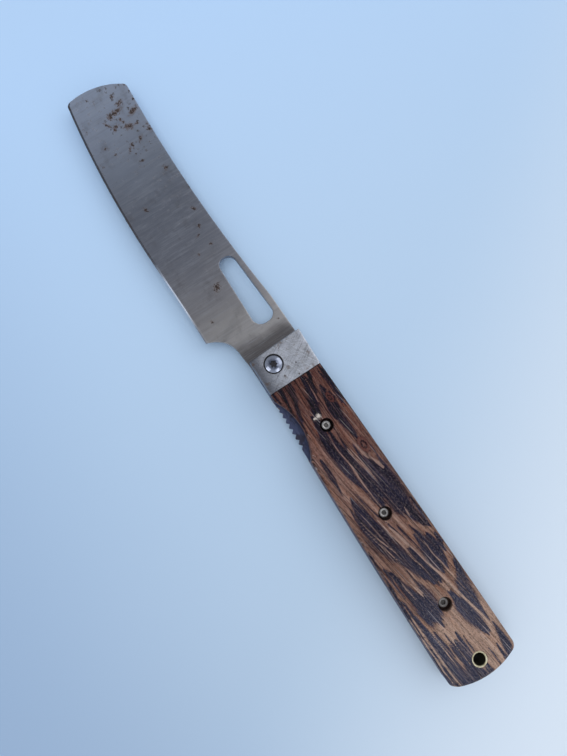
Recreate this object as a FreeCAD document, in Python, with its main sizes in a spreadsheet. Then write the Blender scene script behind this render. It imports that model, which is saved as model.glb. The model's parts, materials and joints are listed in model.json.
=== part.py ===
import FreeCAD, Part
import math
import os

import Sketcher

# Folding knife with a liner lock, open, lying on its rear side.
# X runs to the tip, Y to the cutting edge and the handle's belly, Z up out of the front side.
# Outlines are pairs (reach, rise) from the pivot: reach along X, rise towards the spine, against Y.
# Sizes are millimetres and degrees, each measured from the pivot unless its note says otherwise.
SIZES = {
    # blade outline
    "blade_reach": 133.8,          # foremost point of the tip
    "blade_thickness": 2.5,
    "spine_height": 14.9,          # at the stop shoulder
    "spine_bend": 24.0,            # where the straight spine bends down
    "spine_bend_height": 14.4,
    "spine_dip": 80.0,             # lowest stretch of the spine
    "spine_dip_height": 11.5,
    "tip_radius": 30.0,
    "tip_apex_drop": 4.8,          # foremost point, below the pivot
    "tip_spine_height": 13.1,
    "tip_edge_drop": 11.5,
    "tip_spine_round": 2.2,
    "tip_edge_round": 1.2,
    "edge_low": 64.0,              # lowest point of the cutting edge
    "edge_drop": 17.2,
    "edge_turn": 52.0,             # where the edge turns into the hollow worn ahead of the heel
    "hollow_radius": 590.0,
    "heel": 21.4,
    "choil": 17.4,
    "choil_drop": 10.5,
    "ricasso_foot": 10.0,
    "ricasso_foot_drop": 8.1,
    # thumb slot
    "slot_back": 15.8,
    "slot_front": 46.3,
    "slot_back_low": 3.0,
    "slot_back_high": 12.2,
    "slot_front_low": 3.7,
    "slot_front_high": 10.5,
    "slot_back_round": 3.8,
    "slot_front_round": 3.2,
    # flat grind
    "grind_top": 8.0,
    "edge_thickness": 0.5,         # at the lowest point, before the edge bevel
    "plunge_low": 16.5,            # plunge line, level with the lowest edge
    "plunge_high": 24.0,           # plunge line, level with the top of the grind
    "bevel_width": 0.9,
    "bevel_depth": 0.18,
    # tang and stop
    "fold_angle": 174.5,
    "stop_pin_diameter": 3.5,
    "stop_orbit": 9.5,
    "stop_angle": 108.1,
    "stop_clearance": 0.02,
    "stop_flat": 2.0,              # half length of the flat that meets the pin when shut
    "stop_pin_bury": 1.2,
    "tang_clearance": 0.25,
    "tang_foot": 0.5,
    "lock_face": 4.5,
    "lock_top": 1.0,
    # handle outline
    "handle_reach": 136.3,         # rearmost point of the butt
    "handle_front": 5.4,
    "front_lean": 0.9,             # how much further forward the handle's front is at the back
    "joint": 9.1,                  # joint of bolster and scale, behind the pivot
    "back_front": 15.4,
    "back_joint": 15.0,
    "back_middle": 16.5,
    "back_butt": 17.4,
    "belly_front": 7.2,
    "belly_joint": 7.3,
    "belly_root": 8.9,             # level with the root of the lock bar
    "belly_middle": 9.95,
    "belly_butt": 10.5,
    "relief_fore": 65.0,           # sloping face along the belly of each scale, near the butt
    "relief_fore_height": 9.8,
    "relief_butt": 7.4,
    "relief_angle": 45.0,
    "relief_depth": 3.6,
    "butt_radius": 30.0,
    "butt_apex": 4.4,
    "butt_back_round": 3.0,
    "butt_belly_round": 1.3,
    # handle slabs
    "scale_thickness": 4.4,
    "liner_thickness": 1.3,
    "washer_thickness": 0.25,
    "washer_diameter": 8.6,
    "scale_round": 1.2,
    "bolster_chamfer": 0.35,
    "bolster_round": 0.5,
    "scallop_start": 3.0,          # front end of the thumb scallop, behind the joint
    "scallop_length": 26.1,
    "scallop_floor": 4.1,
    "scallop_relief": 0.3,         # front liner behind the scale's scallop
    "rear_scallop_depth": 1.4,     # shallow hollow of the rear scale behind the jimping
    # lock bar
    "lock_root": 55.0,
    "lock_slit": 0.3,
    "lock_clearance": 0.1,
    "root_clearance": 0.05,
    "jimp_start": 14.9,
    "jimp_pitch": 2.4,
    "jimp_width": 2.0,
    "jimp_depth": 1.0,
    "detent_back": 9.0,
    "detent_drop": 4.0,
    "ball_diameter": 1.4,
    "ball_stand": 0.2,
    "ball_clearance": 0.01,
    "dimple_diameter": 1.8,
    "dimple_depth": 0.35,
    # pivot
    "barrel_diameter": 4.8,
    "pivot_head_diameter": 6.8,
    "pivot_counterbore": 7.4,
    "pivot_seat_depth": 1.8,
    "pivot_rim_depth": 0.5,        # rim of the domed head, below the bolster's face
    "pivot_dome": 0.4,             # top of the domed head, above the bolster's face
    "pivot_screw_head": 1.4,
    "pivot_thread": 3.0,
    "pivot_thread_length": 8.0,
    "pivot_clearance": 0.05,
    "barrel_end_gap": 0.3,
    "star_radius": 1.1,
    "star_lobe": 0.35,
    "star_depth": 1.2,
    # scale screws
    "screw_row": 4.05,
    "screw_first": 20.7,           # first screw, behind the joint
    "screw_last": 22.5,            # last screw, ahead of the lanyard tube
    "screw_counterbore": 5.2,
    "screw_recess": 2.5,           # head's top, below the scale's face
    "screw_head_diameter": 3.7,
    "screw_head_height": 1.1,
    "screw_head_chamfer": 0.25,
    "screw_diameter": 2.0,
    "screw_end_gap": 0.1,
    "socket_flats": 1.6,
    "socket_depth": 0.8,
    # lanyard tube, spacer and rivets
    "tube_inset": 6.7,             # tube's axis, ahead of the butt
    "tube_row": 3.4,
    "tube_diameter": 5.6,
    "tube_bore": 4.5,
    "tube_lip": 0.2,
    "spacer_width": 4.5,
    "spacer_inset": 0.3,
    "spacer_low": 9.5,
    "spacer_toe": 5.0,
    "spacer_pin_diameter": 2.0,
    "spacer_pin_end": 8.0,
    "rivet_diameter": 2.0,
    "rivet_depth": 3.0,
    "rivet_fore": 2.8,
    "rivet_fore_height": 11.0,
    "rivet_aft": 6.4,
    "rivet_aft_height": 3.4,
    "fit_clearance": 0.03,
}
JIMP_NOTCHES = 8
STAR_LOBES = 6
SCALE_SCREWS = 3
FRONT = 1
REAR = -1


class Size:
    """A value together with the sheet formula that gives it."""

    def __init__(self, value, formula):
        self.value = value
        self.formula = formula

    def __add__(self, other):
        other = as_size(other)
        return Size(self.value + other.value, f"({self.formula} + {other.formula})")

    def __sub__(self, other):
        other = as_size(other)
        return Size(self.value - other.value, f"({self.formula} - {other.formula})")

    def __mul__(self, other):
        other = as_size(other)
        return Size(self.value * other.value, f"({self.formula} * {other.formula})")

    def __truediv__(self, other):
        other = as_size(other)
        return Size(self.value / other.value, f"({self.formula} / {other.formula})")

    def __rsub__(self, other):
        return as_size(other) - self

    def __neg__(self):
        return Size(-self.value, f"(-1 * {self.formula})")

    __radd__ = __add__
    __rmul__ = __mul__


def as_size(number):
    if isinstance(number, Size):
        return number
    return Size(float(number), f"({float(number)})")


def root(size):
    return Size(math.sqrt(size.value), f"sqrt({size.formula})")


def cosine(angle):
    return Size(math.cos(math.radians(angle.value)), f"cos({angle.formula})")


def sine(angle):
    return Size(math.sin(math.radians(angle.value)), f"sin({angle.formula})")


def bow(radius, rise):
    """How far an arc of this radius falls back at a distance from its foremost point."""
    return radius - root(radius * radius - rise * rise)


def between(start, end, share):
    return start + (end - start) * share


class Dimensions:
    """The driving dimensions, one attribute per alias of the sheet."""

    def __init__(self, sheet):
        for row, (alias, value) in enumerate(SIZES.items(), start=1):
            sheet.set(f"A{row}", alias)
            sheet.set(f"B{row}", str(value))
            sheet.setAlias(f"B{row}", alias)
            setattr(self, alias, Size(value, f"{sheet.Name}.{alias}"))


doc = FreeCAD.newDocument("folding_knife")
d = Dimensions(doc.addObject("Spreadsheet::Sheet", "sizes"))
doc.recompute()

# Places that several pieces share
PIVOT = (Size(0.0, "0"), Size(0.0, "0"))
pivot_x = (d.handle_reach - d.blade_reach) / 2
pivot_y = (d.back_butt - d.edge_drop) / 2
gap = d.blade_thickness + d.washer_thickness * 2
rear_liner_outside = d.scale_thickness
rear_liner_inside = rear_liner_outside + d.liner_thickness
blade_middle = rear_liner_inside + gap / 2
front_liner_inside = rear_liner_inside + gap
front_liner_outside = front_liner_inside + d.liner_thickness
total_thickness = front_liner_outside + d.scale_thickness

stop_pin_at = (d.stop_orbit * cosine(d.stop_angle), d.stop_orbit * sine(d.stop_angle))
tube_at = (-(d.handle_reach - d.tube_inset), d.tube_row)
rivets_at = [(d.rivet_fore, d.rivet_fore_height), (-d.rivet_aft, d.rivet_aft_height)]
detent_at = (-d.detent_back, -d.detent_drop)
middle_station = between(d.joint, d.handle_reach, 0.5)
spacer_pins_at = [
    (-(middle_station + d.spacer_pin_end), d.back_middle - d.spacer_inset - d.spacer_width / 2),
    (tube_at[0] + d.spacer_pin_end, d.back_butt - d.spacer_inset - d.spacer_width / 2),
]
first_screw_x = -(d.joint + d.screw_first)
last_screw_x = tube_at[0] + d.screw_last
scale_screws_at = [
    (between(first_screw_x, last_screw_x, i / (SCALE_SCREWS - 1)), d.screw_row)
    for i in range(SCALE_SCREWS)
]


def bind(feature, **sizes):
    for name, size in sizes.items():
        feature.setExpression(name, size.formula)
    return feature


def place(feature, height, side=FRONT, at=PIVOT):
    """Put a piece at the pivot, or at a point measured from it; the rear side is turned over about X."""
    turn = 0 if side == FRONT else 180
    base = (pivot_x + at[0], pivot_y - at[1], height)
    feature.Placement = FreeCAD.Placement(
        FreeCAD.Vector(*[size.value for size in base]),
        FreeCAD.Rotation(FreeCAD.Vector(1, 0, 0), turn),
    )
    for axis, size in zip("xyz", base):
        feature.setExpression(f"Placement.Base.{axis}", size.formula)


def new_body(label, height, side=FRONT):
    body = doc.addObject("PartDesign::Body", label)
    body.Label = label
    place(body, height, side)
    return body


def new_sketch(body, name, level=None, role="XY_Plane"):
    plane = next(item for item in body.Origin.OriginFeatures if item.Role == role)
    sketch = body.newObject("Sketcher::SketchObject", name)
    sketch.AttachmentSupport = [(plane, "")]
    sketch.MapMode = "FlatFace"
    if level is not None:
        sketch.setExpression("AttachmentOffset.Base.z", level.formula)
    return sketch


def hold_point(sketch, geometry, end, point):
    """Fix one point of a sketch at its two sizes."""
    for kind, size in (("DistanceX", point[0]), ("DistanceY", -point[1])):
        index = sketch.addConstraint(Sketcher.Constraint(kind, -1, 1, geometry, end, size.value))
        sketch.setExpression(f"Constraints[{index}]", size.formula)


def vector(point):
    return FreeCAD.Vector(point[0].value, -point[1].value, 0)


def arc_through(start, middle, end):
    """Arc by three points, always run anticlockwise as a sketch needs."""
    if (middle - start).cross(end - middle).z < 0:
        start, end = end, start
    found = Part.Circle(start, middle, end)
    centre = found.Center
    circle = Part.Circle(centre, FreeCAD.Vector(0, 0, 1), found.Radius)
    first = math.atan2(start.y - centre.y, start.x - centre.x)
    last = math.atan2(end.y - centre.y, end.x - centre.x)
    if last < first:
        last += 2 * math.pi
    return Part.ArcOfCircle(circle, first, last)


def draw_loop(sketch, corners):
    """Draw a closed loop. Each corner is (point, None) for a line to the next corner,
    or (point, middle) for an arc to the next corner through a middle point."""
    count = len(corners)
    edges = []
    for i, (point, middle) in enumerate(corners):
        following = corners[(i + 1) % count][0]
        if middle is None:
            edges.append(sketch.addGeometry(Part.LineSegment(vector(point), vector(following))))
        else:
            arc = arc_through(vector(point), vector(middle), vector(following))
            edges.append(sketch.addGeometry(arc))
    starts = {}
    for edge, (point, middle) in zip(edges, corners):
        curve = sketch.Geometry[edge]
        forward = (curve.StartPoint - vector(point)).Length < (curve.EndPoint - vector(point)).Length
        starts[edge] = (1, 2) if forward else (2, 1)
    for i, edge in enumerate(edges):
        after = edges[(i + 1) % count]
        sketch.addConstraint(
            Sketcher.Constraint("Coincident", edge, starts[edge][1], after, starts[after][0])
        )
    for edge, (point, middle) in zip(edges, corners):
        hold_point(sketch, edge, starts[edge][0], point)
        if middle is not None:
            marker = sketch.addGeometry(Part.Point(vector(middle)), True)
            hold_point(sketch, marker, 1, middle)
            sketch.addConstraint(Sketcher.Constraint("PointOnObject", marker, 1, edge))


def draw_circle(sketch, centre, radius):
    circle = sketch.addGeometry(Part.Circle(vector(centre), FreeCAD.Vector(0, 0, 1), radius.value))
    hold_point(sketch, circle, 3, centre)
    index = sketch.addConstraint(Sketcher.Constraint("Radius", circle, radius.value))
    sketch.setExpression(f"Constraints[{index}]", radius.formula)


def draw_hexagon(sketch, centre, flats):
    corner = flats / math.sqrt(3)
    corners = []
    for i in range(6):
        turn = math.radians(60 * i)
        corners.append(((centre[0] + corner * math.cos(turn), centre[1] + corner * math.sin(turn)), None))
    draw_loop(sketch, corners)


def pad(body, sketch, length):
    feature = body.newObject("PartDesign::Pad", f"{sketch.Name}_pad")
    feature.Profile = sketch
    feature.setExpression("Length", length.formula)
    return feature


def middle_pad(body, sketch, length):
    feature = pad(body, sketch, length)
    feature.SideType = "Symmetric"
    return feature


def pocket_down(body, sketch, depth):
    """Cut from the sketch's plane towards the lower side of the body."""
    feature = body.newObject("PartDesign::Pocket", f"{sketch.Name}_pocket")
    feature.Profile = sketch
    feature.setExpression("Length", depth.formula)
    return feature


def pocket_up(body, sketch, depth):
    feature = pocket_down(body, sketch, depth)
    feature.Reversed = True
    return feature


def edge_names(feature, wanted):
    return [f"Edge{i}" for i, edge in enumerate(feature.Shape.Edges, start=1) if wanted(edge)]


def upright_at(points):
    """Choose the edges that stand on the given points."""
    def wanted(edge):
        ends = [vertex.Point for vertex in edge.Vertexes]
        if len(ends) != 2 or abs(ends[0].z - ends[1].z) < 1e-6:
            return False
        return any(
            all((FreeCAD.Vector(end.x, end.y, 0) - vector(point)).Length < 1e-4 for end in ends)
            for point in points
        )
    return wanted


def level_edges(level, skip_x=None):
    """Choose the edges that lie at a level, apart from a straight one across the piece at skip_x."""
    def wanted(edge):
        box = edge.BoundBox
        if abs(box.ZMin - level.value) > 1e-5 or abs(box.ZMax - level.value) > 1e-5:
            return False
        if skip_x is None:
            return True
        return abs(box.XMin - skip_x.value) > 1e-5 or abs(box.XMax - skip_x.value) > 1e-5
    return wanted


def dress(body, kind, base, wanted, **sizes):
    """Add a fillet or a chamfer to the chosen edges."""
    doc.recompute()
    names = edge_names(base, wanted)
    if not names:
        raise ValueError(f"{body.Label}: no edges for {kind}")
    feature = body.newObject(f"PartDesign::{kind}", f"{body.Label}_{kind.lower()}_{base.Name}")
    feature.Base = (base, names)
    return bind(feature, **sizes)


def mirrored(points, side):
    return [(x, y * side) for x, y in points]


def butt_corner(height):
    """Where a level of the handle's outline meets the round butt."""
    return (-(d.handle_reach - bow(d.butt_radius, height - d.butt_apex)), height)


def half_outline(fore):
    """Corners of the handle's outline from its back, round the butt, to the root of the lock bar.
    fore is the front end of the back edge."""
    belly_station = between(d.lock_root, d.handle_reach, 0.5)
    back_corner, belly_corner = butt_corners()
    return [
        (fore, (-middle_station, d.back_middle)),
        (back_corner, (-d.handle_reach, d.butt_apex)),
        (belly_corner, (-belly_station, -d.belly_middle)),
        ((-d.lock_root, -d.belly_root), None),
    ]


def butt_corners():
    return butt_corner(d.back_butt), butt_corner(-d.belly_butt)


def on_belly(reach):
    """Point of the straight belly between the joint and the root of the lock bar."""
    share = (reach + d.joint) / (d.joint - d.lock_root)
    return (reach, -between(d.belly_joint, d.belly_root, share))


def on_bolster_belly(reach):
    """Point of the belly between the joint and the front of the handle."""
    share = (reach + d.joint) / (d.handle_front + d.joint)
    return (reach, -between(d.belly_joint, d.belly_front, share))


def scallop(floor=None):
    """Corners of the thumb scallop, from its rear end to the joint; the rear scale's is shallow."""
    rear_end = on_belly(-(d.joint + d.scallop_start + d.scallop_length))
    front_end = on_belly(-(d.joint + d.scallop_start))
    middle = on_belly(-(d.joint + d.scallop_start + d.scallop_length / 2))
    if floor is None:
        deepest = (middle[0], middle[1] + d.rear_scallop_depth)
    else:
        deepest = (middle[0], -floor)
    return [(rear_end, deepest), (front_end, None), ((-d.joint, -d.belly_joint), None)]


def flip(corners, side):
    """Turn an outline over for a rear piece, which is drawn face down."""
    turned = []
    for point, middle in corners:
        point = (point[0], point[1] * side)
        if middle is not None:
            middle = (middle[0], middle[1] * side)
        turned.append((point, middle))
    return turned


def drill(body, name, holes, depth):
    """Cut round holes upward from the body's lower face; holes are (centre, radius) pairs."""
    sketch = new_sketch(body, name)
    for centre, radius in holes:
        draw_circle(sketch, centre, radius)
    return pocket_up(body, sketch, depth)


def counterbore(body, name, level, holes, depth):
    sketch = new_sketch(body, name, level)
    for centre, radius in holes:
        draw_circle(sketch, centre, radius)
    return pocket_down(body, sketch, depth)


def belly_relief(body, label, side):
    """Slope off the outer edge of a scale's belly, more and more towards the butt."""
    outside = d.belly_butt * 2
    beyond = d.handle_reach + d.scale_thickness
    corners = [
        ((-d.relief_fore, -d.relief_fore_height), None),
        ((-beyond, -d.relief_butt), None),
        ((-beyond, -outside), None),
        ((-d.relief_fore, -outside), None),
    ]
    sketch = new_sketch(body, f"{label}_relief", d.scale_thickness)
    draw_loop(sketch, flip(corners, side))
    slope = pocket_down(body, sketch, d.relief_depth)
    return bind(slope, TaperAngle=-d.relief_angle)


def make_scale(label, side):
    """Wood slab from the bolster's joint to the butt, drawn with its inner face at level zero."""
    height = front_liner_outside if side == FRONT else rear_liner_outside
    body = new_body(label, height, side)
    corners = half_outline((-d.joint, d.back_joint))
    corners += scallop(d.scallop_floor if side == FRONT else None)
    sketch = new_sketch(body, f"{label}_outline")
    draw_loop(sketch, flip(corners, side))
    slab = pad(body, sketch, d.scale_thickness)
    back_corner, belly_corner = mirrored(butt_corners(), side)
    base = dress(body, "Fillet", slab, upright_at([back_corner]), Radius=d.butt_back_round)
    base = dress(body, "Fillet", base, upright_at([belly_corner]), Radius=d.butt_belly_round)
    dress(body, "Fillet", base, level_edges(d.scale_thickness, -d.joint), Radius=d.scale_round)
    belly_relief(body, label, side)
    screws = mirrored(scale_screws_at, side)
    tube = mirrored([tube_at], side)[0]
    holes = [(centre, d.screw_diameter / 2 + d.fit_clearance) for centre in screws]
    holes.append((tube, d.tube_diameter / 2 + d.fit_clearance))
    drill(body, f"{label}_holes", holes, d.scale_thickness)
    sinks = [(centre, d.screw_counterbore / 2) for centre in screws]
    counterbore(body, f"{label}_sinks", d.scale_thickness, sinks, d.screw_recess + d.screw_head_height)
    return body


def make_bolster(label, side):
    """Steel plate from the front of the handle to the joint, inner face at level zero."""
    height = front_liner_outside if side == FRONT else rear_liner_outside
    body = new_body(label, height, side)
    corners = [
        ((d.handle_front + d.front_lean, d.back_front), None),
        ((-d.joint, d.back_joint), None),
        ((-d.joint, -d.belly_joint), None),
        ((d.handle_front, -d.belly_front), None),
    ]
    sketch = new_sketch(body, f"{label}_outline")
    draw_loop(sketch, flip(corners, side))
    plate = pad(body, sketch, d.scale_thickness)
    front_corner = mirrored([corners[0][0]], side)
    base = dress(body, "Fillet", plate, upright_at(front_corner), Radius=d.bolster_round)
    dress(body, "Chamfer", base, level_edges(d.scale_thickness, -d.joint), Size=d.bolster_chamfer)
    barrel_hole = (PIVOT, d.barrel_diameter / 2 + d.fit_clearance)
    drill(body, f"{label}_pivot", [barrel_hole], d.scale_thickness)
    sink = (PIVOT, d.pivot_counterbore / 2)
    counterbore(body, f"{label}_sink", d.scale_thickness, [sink], d.pivot_seat_depth)
    pin = (mirrored([stop_pin_at], side)[0], d.stop_pin_diameter / 2 + d.fit_clearance)
    drill(body, f"{label}_stop", [pin], d.stop_pin_bury + d.fit_clearance)
    rivets = [(centre, d.rivet_diameter / 2 + d.fit_clearance) for centre in mirrored(rivets_at, side)]
    drill(body, f"{label}_rivets", rivets, d.rivet_depth + d.fit_clearance)
    return body


def liner_holes(side):
    """Every hole through a liner: pivot, stop pin, rivets, scale screws, spacer pins and tube."""
    groups = [
        ([PIVOT], d.barrel_diameter),
        ([stop_pin_at], d.stop_pin_diameter),
        (rivets_at, d.rivet_diameter),
        (scale_screws_at, d.screw_diameter),
        (spacer_pins_at, d.spacer_pin_diameter),
        ([tube_at], d.tube_diameter),
    ]
    return [
        (centre, diameter / 2 + d.fit_clearance)
        for points, diameter in groups
        for centre in mirrored(points, side)
    ]


def make_liner(label, side):
    """Steel sheet under one bolster and scale, drawn with its inner face at level zero."""
    height = front_liner_inside if side == FRONT else rear_liner_inside
    body = new_body(label, height, side)
    corners = [((d.handle_front + d.front_lean, d.back_front), None)]
    corners += half_outline((-d.joint, d.back_joint))
    if side == FRONT:
        corners += scallop(d.scallop_floor - d.scallop_relief)
    else:
        slit = -(d.lock_top + d.lock_clearance - d.lock_slit)
        front_of_bar = -(d.lock_face + d.lock_clearance - d.lock_slit)
        corners += [
            ((-d.lock_root, slit), None),
            ((front_of_bar, slit), None),
            (on_bolster_belly(front_of_bar), None),
        ]
    corners += [((d.handle_front, -d.belly_front), None)]
    sketch = new_sketch(body, f"{label}_outline")
    draw_loop(sketch, flip(corners, side))
    sheet = pad(body, sketch, d.liner_thickness)
    back_corner, belly_corner = mirrored(butt_corners(), side)
    base = dress(body, "Fillet", sheet, upright_at([back_corner]), Radius=d.butt_back_round)
    base = dress(body, "Fillet", base, upright_at([belly_corner]), Radius=d.butt_belly_round)
    front_corner = mirrored([corners[0][0]], side)
    dress(body, "Fillet", base, upright_at(front_corner), Radius=d.bolster_round)
    drill(body, f"{label}_holes", liner_holes(side), d.liner_thickness)
    return body


def make_lock_bar():
    """Leaf of the rear liner that springs in behind the tang, with a jimped edge for the thumb."""
    body = new_body("lock_bar", rear_liner_inside, REAR)
    tip = -(d.lock_face + d.lock_clearance)
    top = -(d.lock_top + d.lock_clearance)
    bar_root = -(d.lock_root - d.root_clearance)
    corners = [
        ((tip, top), None),
        ((bar_root, top), None),
        ((bar_root, -d.belly_root), None),
        ((-d.joint, -d.belly_joint), None),
        (on_bolster_belly(tip), None),
    ]
    sketch = new_sketch(body, "lock_bar_outline")
    draw_loop(sketch, flip(corners, REAR))
    pad(body, sketch, d.liner_thickness)
    notches = new_sketch(body, "lock_bar_jimping")
    for i in range(JIMP_NOTCHES):
        x, edge = on_belly(-(d.jimp_start + d.jimp_pitch * i))
        outside = edge - d.jimp_depth
        notch = [
            ((x + d.jimp_width, outside), None),
            ((x, edge + d.jimp_depth), None),
            ((x - d.jimp_width, outside), None),
        ]
        draw_loop(notches, flip(notch, REAR))
    pocket_up(body, notches, d.liner_thickness)
    seat = (mirrored([detent_at], REAR)[0], d.ball_diameter / 2 + d.ball_clearance)
    drill(body, "lock_bar_seat", [seat], d.liner_thickness)
    return body


def tang_radius():
    return d.stop_orbit - d.stop_pin_diameter / 2 - d.tang_clearance


def on_tip(height):
    """Point of the round tip at a height."""
    return (d.blade_reach - bow(d.tip_radius, height + d.tip_apex_drop), height)


def cutting_edge_radius():
    run = on_tip(-d.tip_edge_drop)[0] - d.edge_low
    rise = d.edge_drop - d.tip_edge_drop
    return (run * run + rise * rise) / (rise * 2)


def on_edge(x):
    """Point of the convex cutting edge at a reach."""
    return (x, bow(cutting_edge_radius(), x - d.edge_low) - d.edge_drop)


def blade_outline():
    """Corners of the blade from the stop shoulder along the spine, tip, edge, choil and tang."""
    edge_radius = cutting_edge_radius()
    edge_turn = on_edge(d.edge_turn)
    share = d.hollow_radius / edge_radius
    hollow_x = edge_turn[0] + (edge_turn[0] - d.edge_low) * share
    hollow_y = edge_turn[1] + (edge_turn[1] + d.edge_drop - edge_radius) * share

    def on_hollow(x):
        aside = x - hollow_x
        return (x, hollow_y + root(d.hollow_radius * d.hollow_radius - aside * aside))

    pin_when_shut = d.stop_angle + d.fold_angle - 270
    under = d.stop_orbit * cosine(pin_when_shut) - d.stop_pin_diameter / 2 - d.stop_clearance
    flat_middle = d.stop_orbit * sine(pin_when_shut)
    shoulder = stop_pin_at[0] + d.stop_pin_diameter / 2 + d.stop_clearance
    r = tang_radius()
    foot_middle = between(d.tang_foot, d.lock_face, 0.5)
    diagonal = r * math.sqrt(0.5)

    def on_tang(x):
        return root(r * r - x * x)

    return [
        ((shoulder, d.spine_height), None),
        ((d.spine_bend, d.spine_bend_height), (d.spine_dip, d.spine_dip_height)),
        (on_tip(d.tip_spine_height), (d.blade_reach, -d.tip_apex_drop)),
        (on_tip(-d.tip_edge_drop), (d.edge_low, -d.edge_drop)),
        (edge_turn, on_hollow(between(d.heel, d.edge_turn, 0.5))),
        (on_hollow(d.heel), (d.choil, -d.choil_drop)),
        ((d.ricasso_foot, -d.ricasso_foot_drop), None),
        ((flat_middle + d.stop_flat, -under), None),
        ((flat_middle - d.stop_flat / 2, -under), None),
        ((-d.tang_foot, -on_tang(d.tang_foot)), (-foot_middle, -on_tang(foot_middle))),
        ((-d.lock_face, -on_tang(d.lock_face)), None),
        ((-d.lock_face, -d.lock_top), None),
        ((-on_tang(d.lock_top), -d.lock_top), (-diagonal, diagonal)),
        ((shoulder, on_tang(shoulder)), None),
    ]


def tip_rounding():
    """Waste outside the rounded corner of tip and edge."""
    corner = on_tip(-d.tip_edge_drop)
    tip_end = on_tip(d.tip_edge_round - d.tip_edge_drop)
    edge_start = on_edge(corner[0] - d.tip_edge_round)
    middle = [between(between(a, b, 0.5), c, 0.5) for a, b, c in zip(tip_end, edge_start, corner)]
    out = corner[0] + d.tip_edge_round
    below = corner[1] - d.tip_edge_round
    return [
        (tip_end, middle),
        (edge_start, None),
        ((edge_start[0], below), None),
        ((out, below), None),
        ((out, tip_end[1]), None),
    ]


def slot_corners():
    back = [(d.slot_back, d.slot_back_low), (d.slot_back, d.slot_back_high)]
    front = [(d.slot_front, d.slot_front_high), (d.slot_front, d.slot_front_low)]
    return back, front


def grind_flat(body, name, side):
    """Wedge that thins one flank from the top of the grind to the edge, ahead of the plunge line."""
    margin = d.blade_thickness
    low = d.edge_drop + margin
    slope = (d.blade_thickness / 2 - d.edge_thickness / 2) / (d.grind_top + d.edge_drop)
    lean = (d.plunge_high - d.plunge_low) / (d.grind_top + d.edge_drop)
    face_low = d.edge_thickness / 2 - slope * margin
    face_high = d.blade_thickness / 2
    outside = d.blade_thickness
    wedge = body.newObject("PartDesign::SubtractiveWedge", name)
    beyond = d.blade_reach + margin
    bind(
        wedge,
        Xmin=d.plunge_high,
        Xmax=beyond,
        X2min=d.plunge_low - lean * margin,
        X2max=beyond,
        Ymin=-d.grind_top,
        Ymax=low,
    )
    if side == FRONT:
        bind(wedge, Zmin=face_high, Zmax=outside, Z2min=face_low, Z2max=outside)
    else:
        bind(wedge, Zmin=-outside, Zmax=-face_high, Z2min=-outside, Z2max=-face_low)
    return wedge


def along_cutting_edge(edge):
    """Choose the long lower edges of the ground flanks, from the tip to the heel."""
    box = edge.BoundBox
    low = box.YMin > d.tip_edge_drop.value * 0.9
    long = box.XLength > d.edge_drop.value / 2
    return low and long


def make_blade():
    body = new_body("blade", blade_middle)
    sketch = new_sketch(body, "blade_outline")
    corners = blade_outline()
    draw_loop(sketch, corners)
    plate = middle_pad(body, sketch, d.blade_thickness)
    spine_end = corners[2][0]
    dress(body, "Fillet", plate, upright_at([spine_end]), Radius=d.tip_spine_round)
    back, front = slot_corners()
    lower_face = -(d.blade_thickness / 2)
    slot = new_sketch(body, "thumb_slot", lower_face)
    draw_loop(slot, [(point, None) for point in back + front])
    opening = pocket_up(body, slot, d.blade_thickness)
    base = dress(body, "Fillet", opening, upright_at(back), Radius=d.slot_back_round)
    dress(body, "Fillet", base, upright_at(front), Radius=d.slot_front_round)
    grind_flat(body, "front_grind", FRONT)
    ground = grind_flat(body, "rear_grind", REAR)
    bevel = dress(body, "Chamfer", ground, along_cutting_edge, Size=d.bevel_width, Size2=d.bevel_depth)
    bevel.ChamferType = "Two distances"
    waste = new_sketch(body, "tip_rounding", lower_face)
    draw_loop(waste, tip_rounding())
    pocket_up(body, waste, d.blade_thickness)
    pivot_hole = new_sketch(body, "blade_pivot", lower_face)
    draw_circle(pivot_hole, PIVOT, d.barrel_diameter / 2 + d.pivot_clearance)
    pocket_up(body, pivot_hole, d.blade_thickness)
    dimple = new_sketch(body, "detent_dimple", lower_face)
    turn = d.fold_angle
    dimple_at = (
        detent_at[0] * cosine(turn) - detent_at[1] * sine(turn),
        detent_at[0] * sine(turn) + detent_at[1] * cosine(turn),
    )
    draw_circle(dimple, dimple_at, d.dimple_diameter / 2)
    pocket_up(body, dimple, d.dimple_depth)
    return body


def revolve(body, name, profile):
    """Turn a closed profile of (radius, height) corners about the body's upright axis."""
    sketch = new_sketch(body, name, role="XZ_Plane")
    draw_loop(sketch, flip(profile, -1))
    feature = body.newObject("PartDesign::Revolution", f"{name}_turned")
    feature.Profile = sketch
    feature.ReferenceAxis = (sketch, ["V_Axis"])
    feature.Angle = 360
    return feature


def star_recess(body, name, level, depth):
    """Six-lobed driver recess cut down from a level."""
    core = new_sketch(body, f"{name}_core", level)
    draw_circle(core, PIVOT, d.star_radius)
    pocket_down(body, core, depth)
    lobes = new_sketch(body, f"{name}_lobes", level)
    for i in range(STAR_LOBES):
        turn = math.radians(360 * i / STAR_LOBES)
        centre = (d.star_radius * math.cos(turn), d.star_radius * math.sin(turn))
        draw_circle(lobes, centre, d.star_lobe)
    pocket_down(body, lobes, depth)


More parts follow.
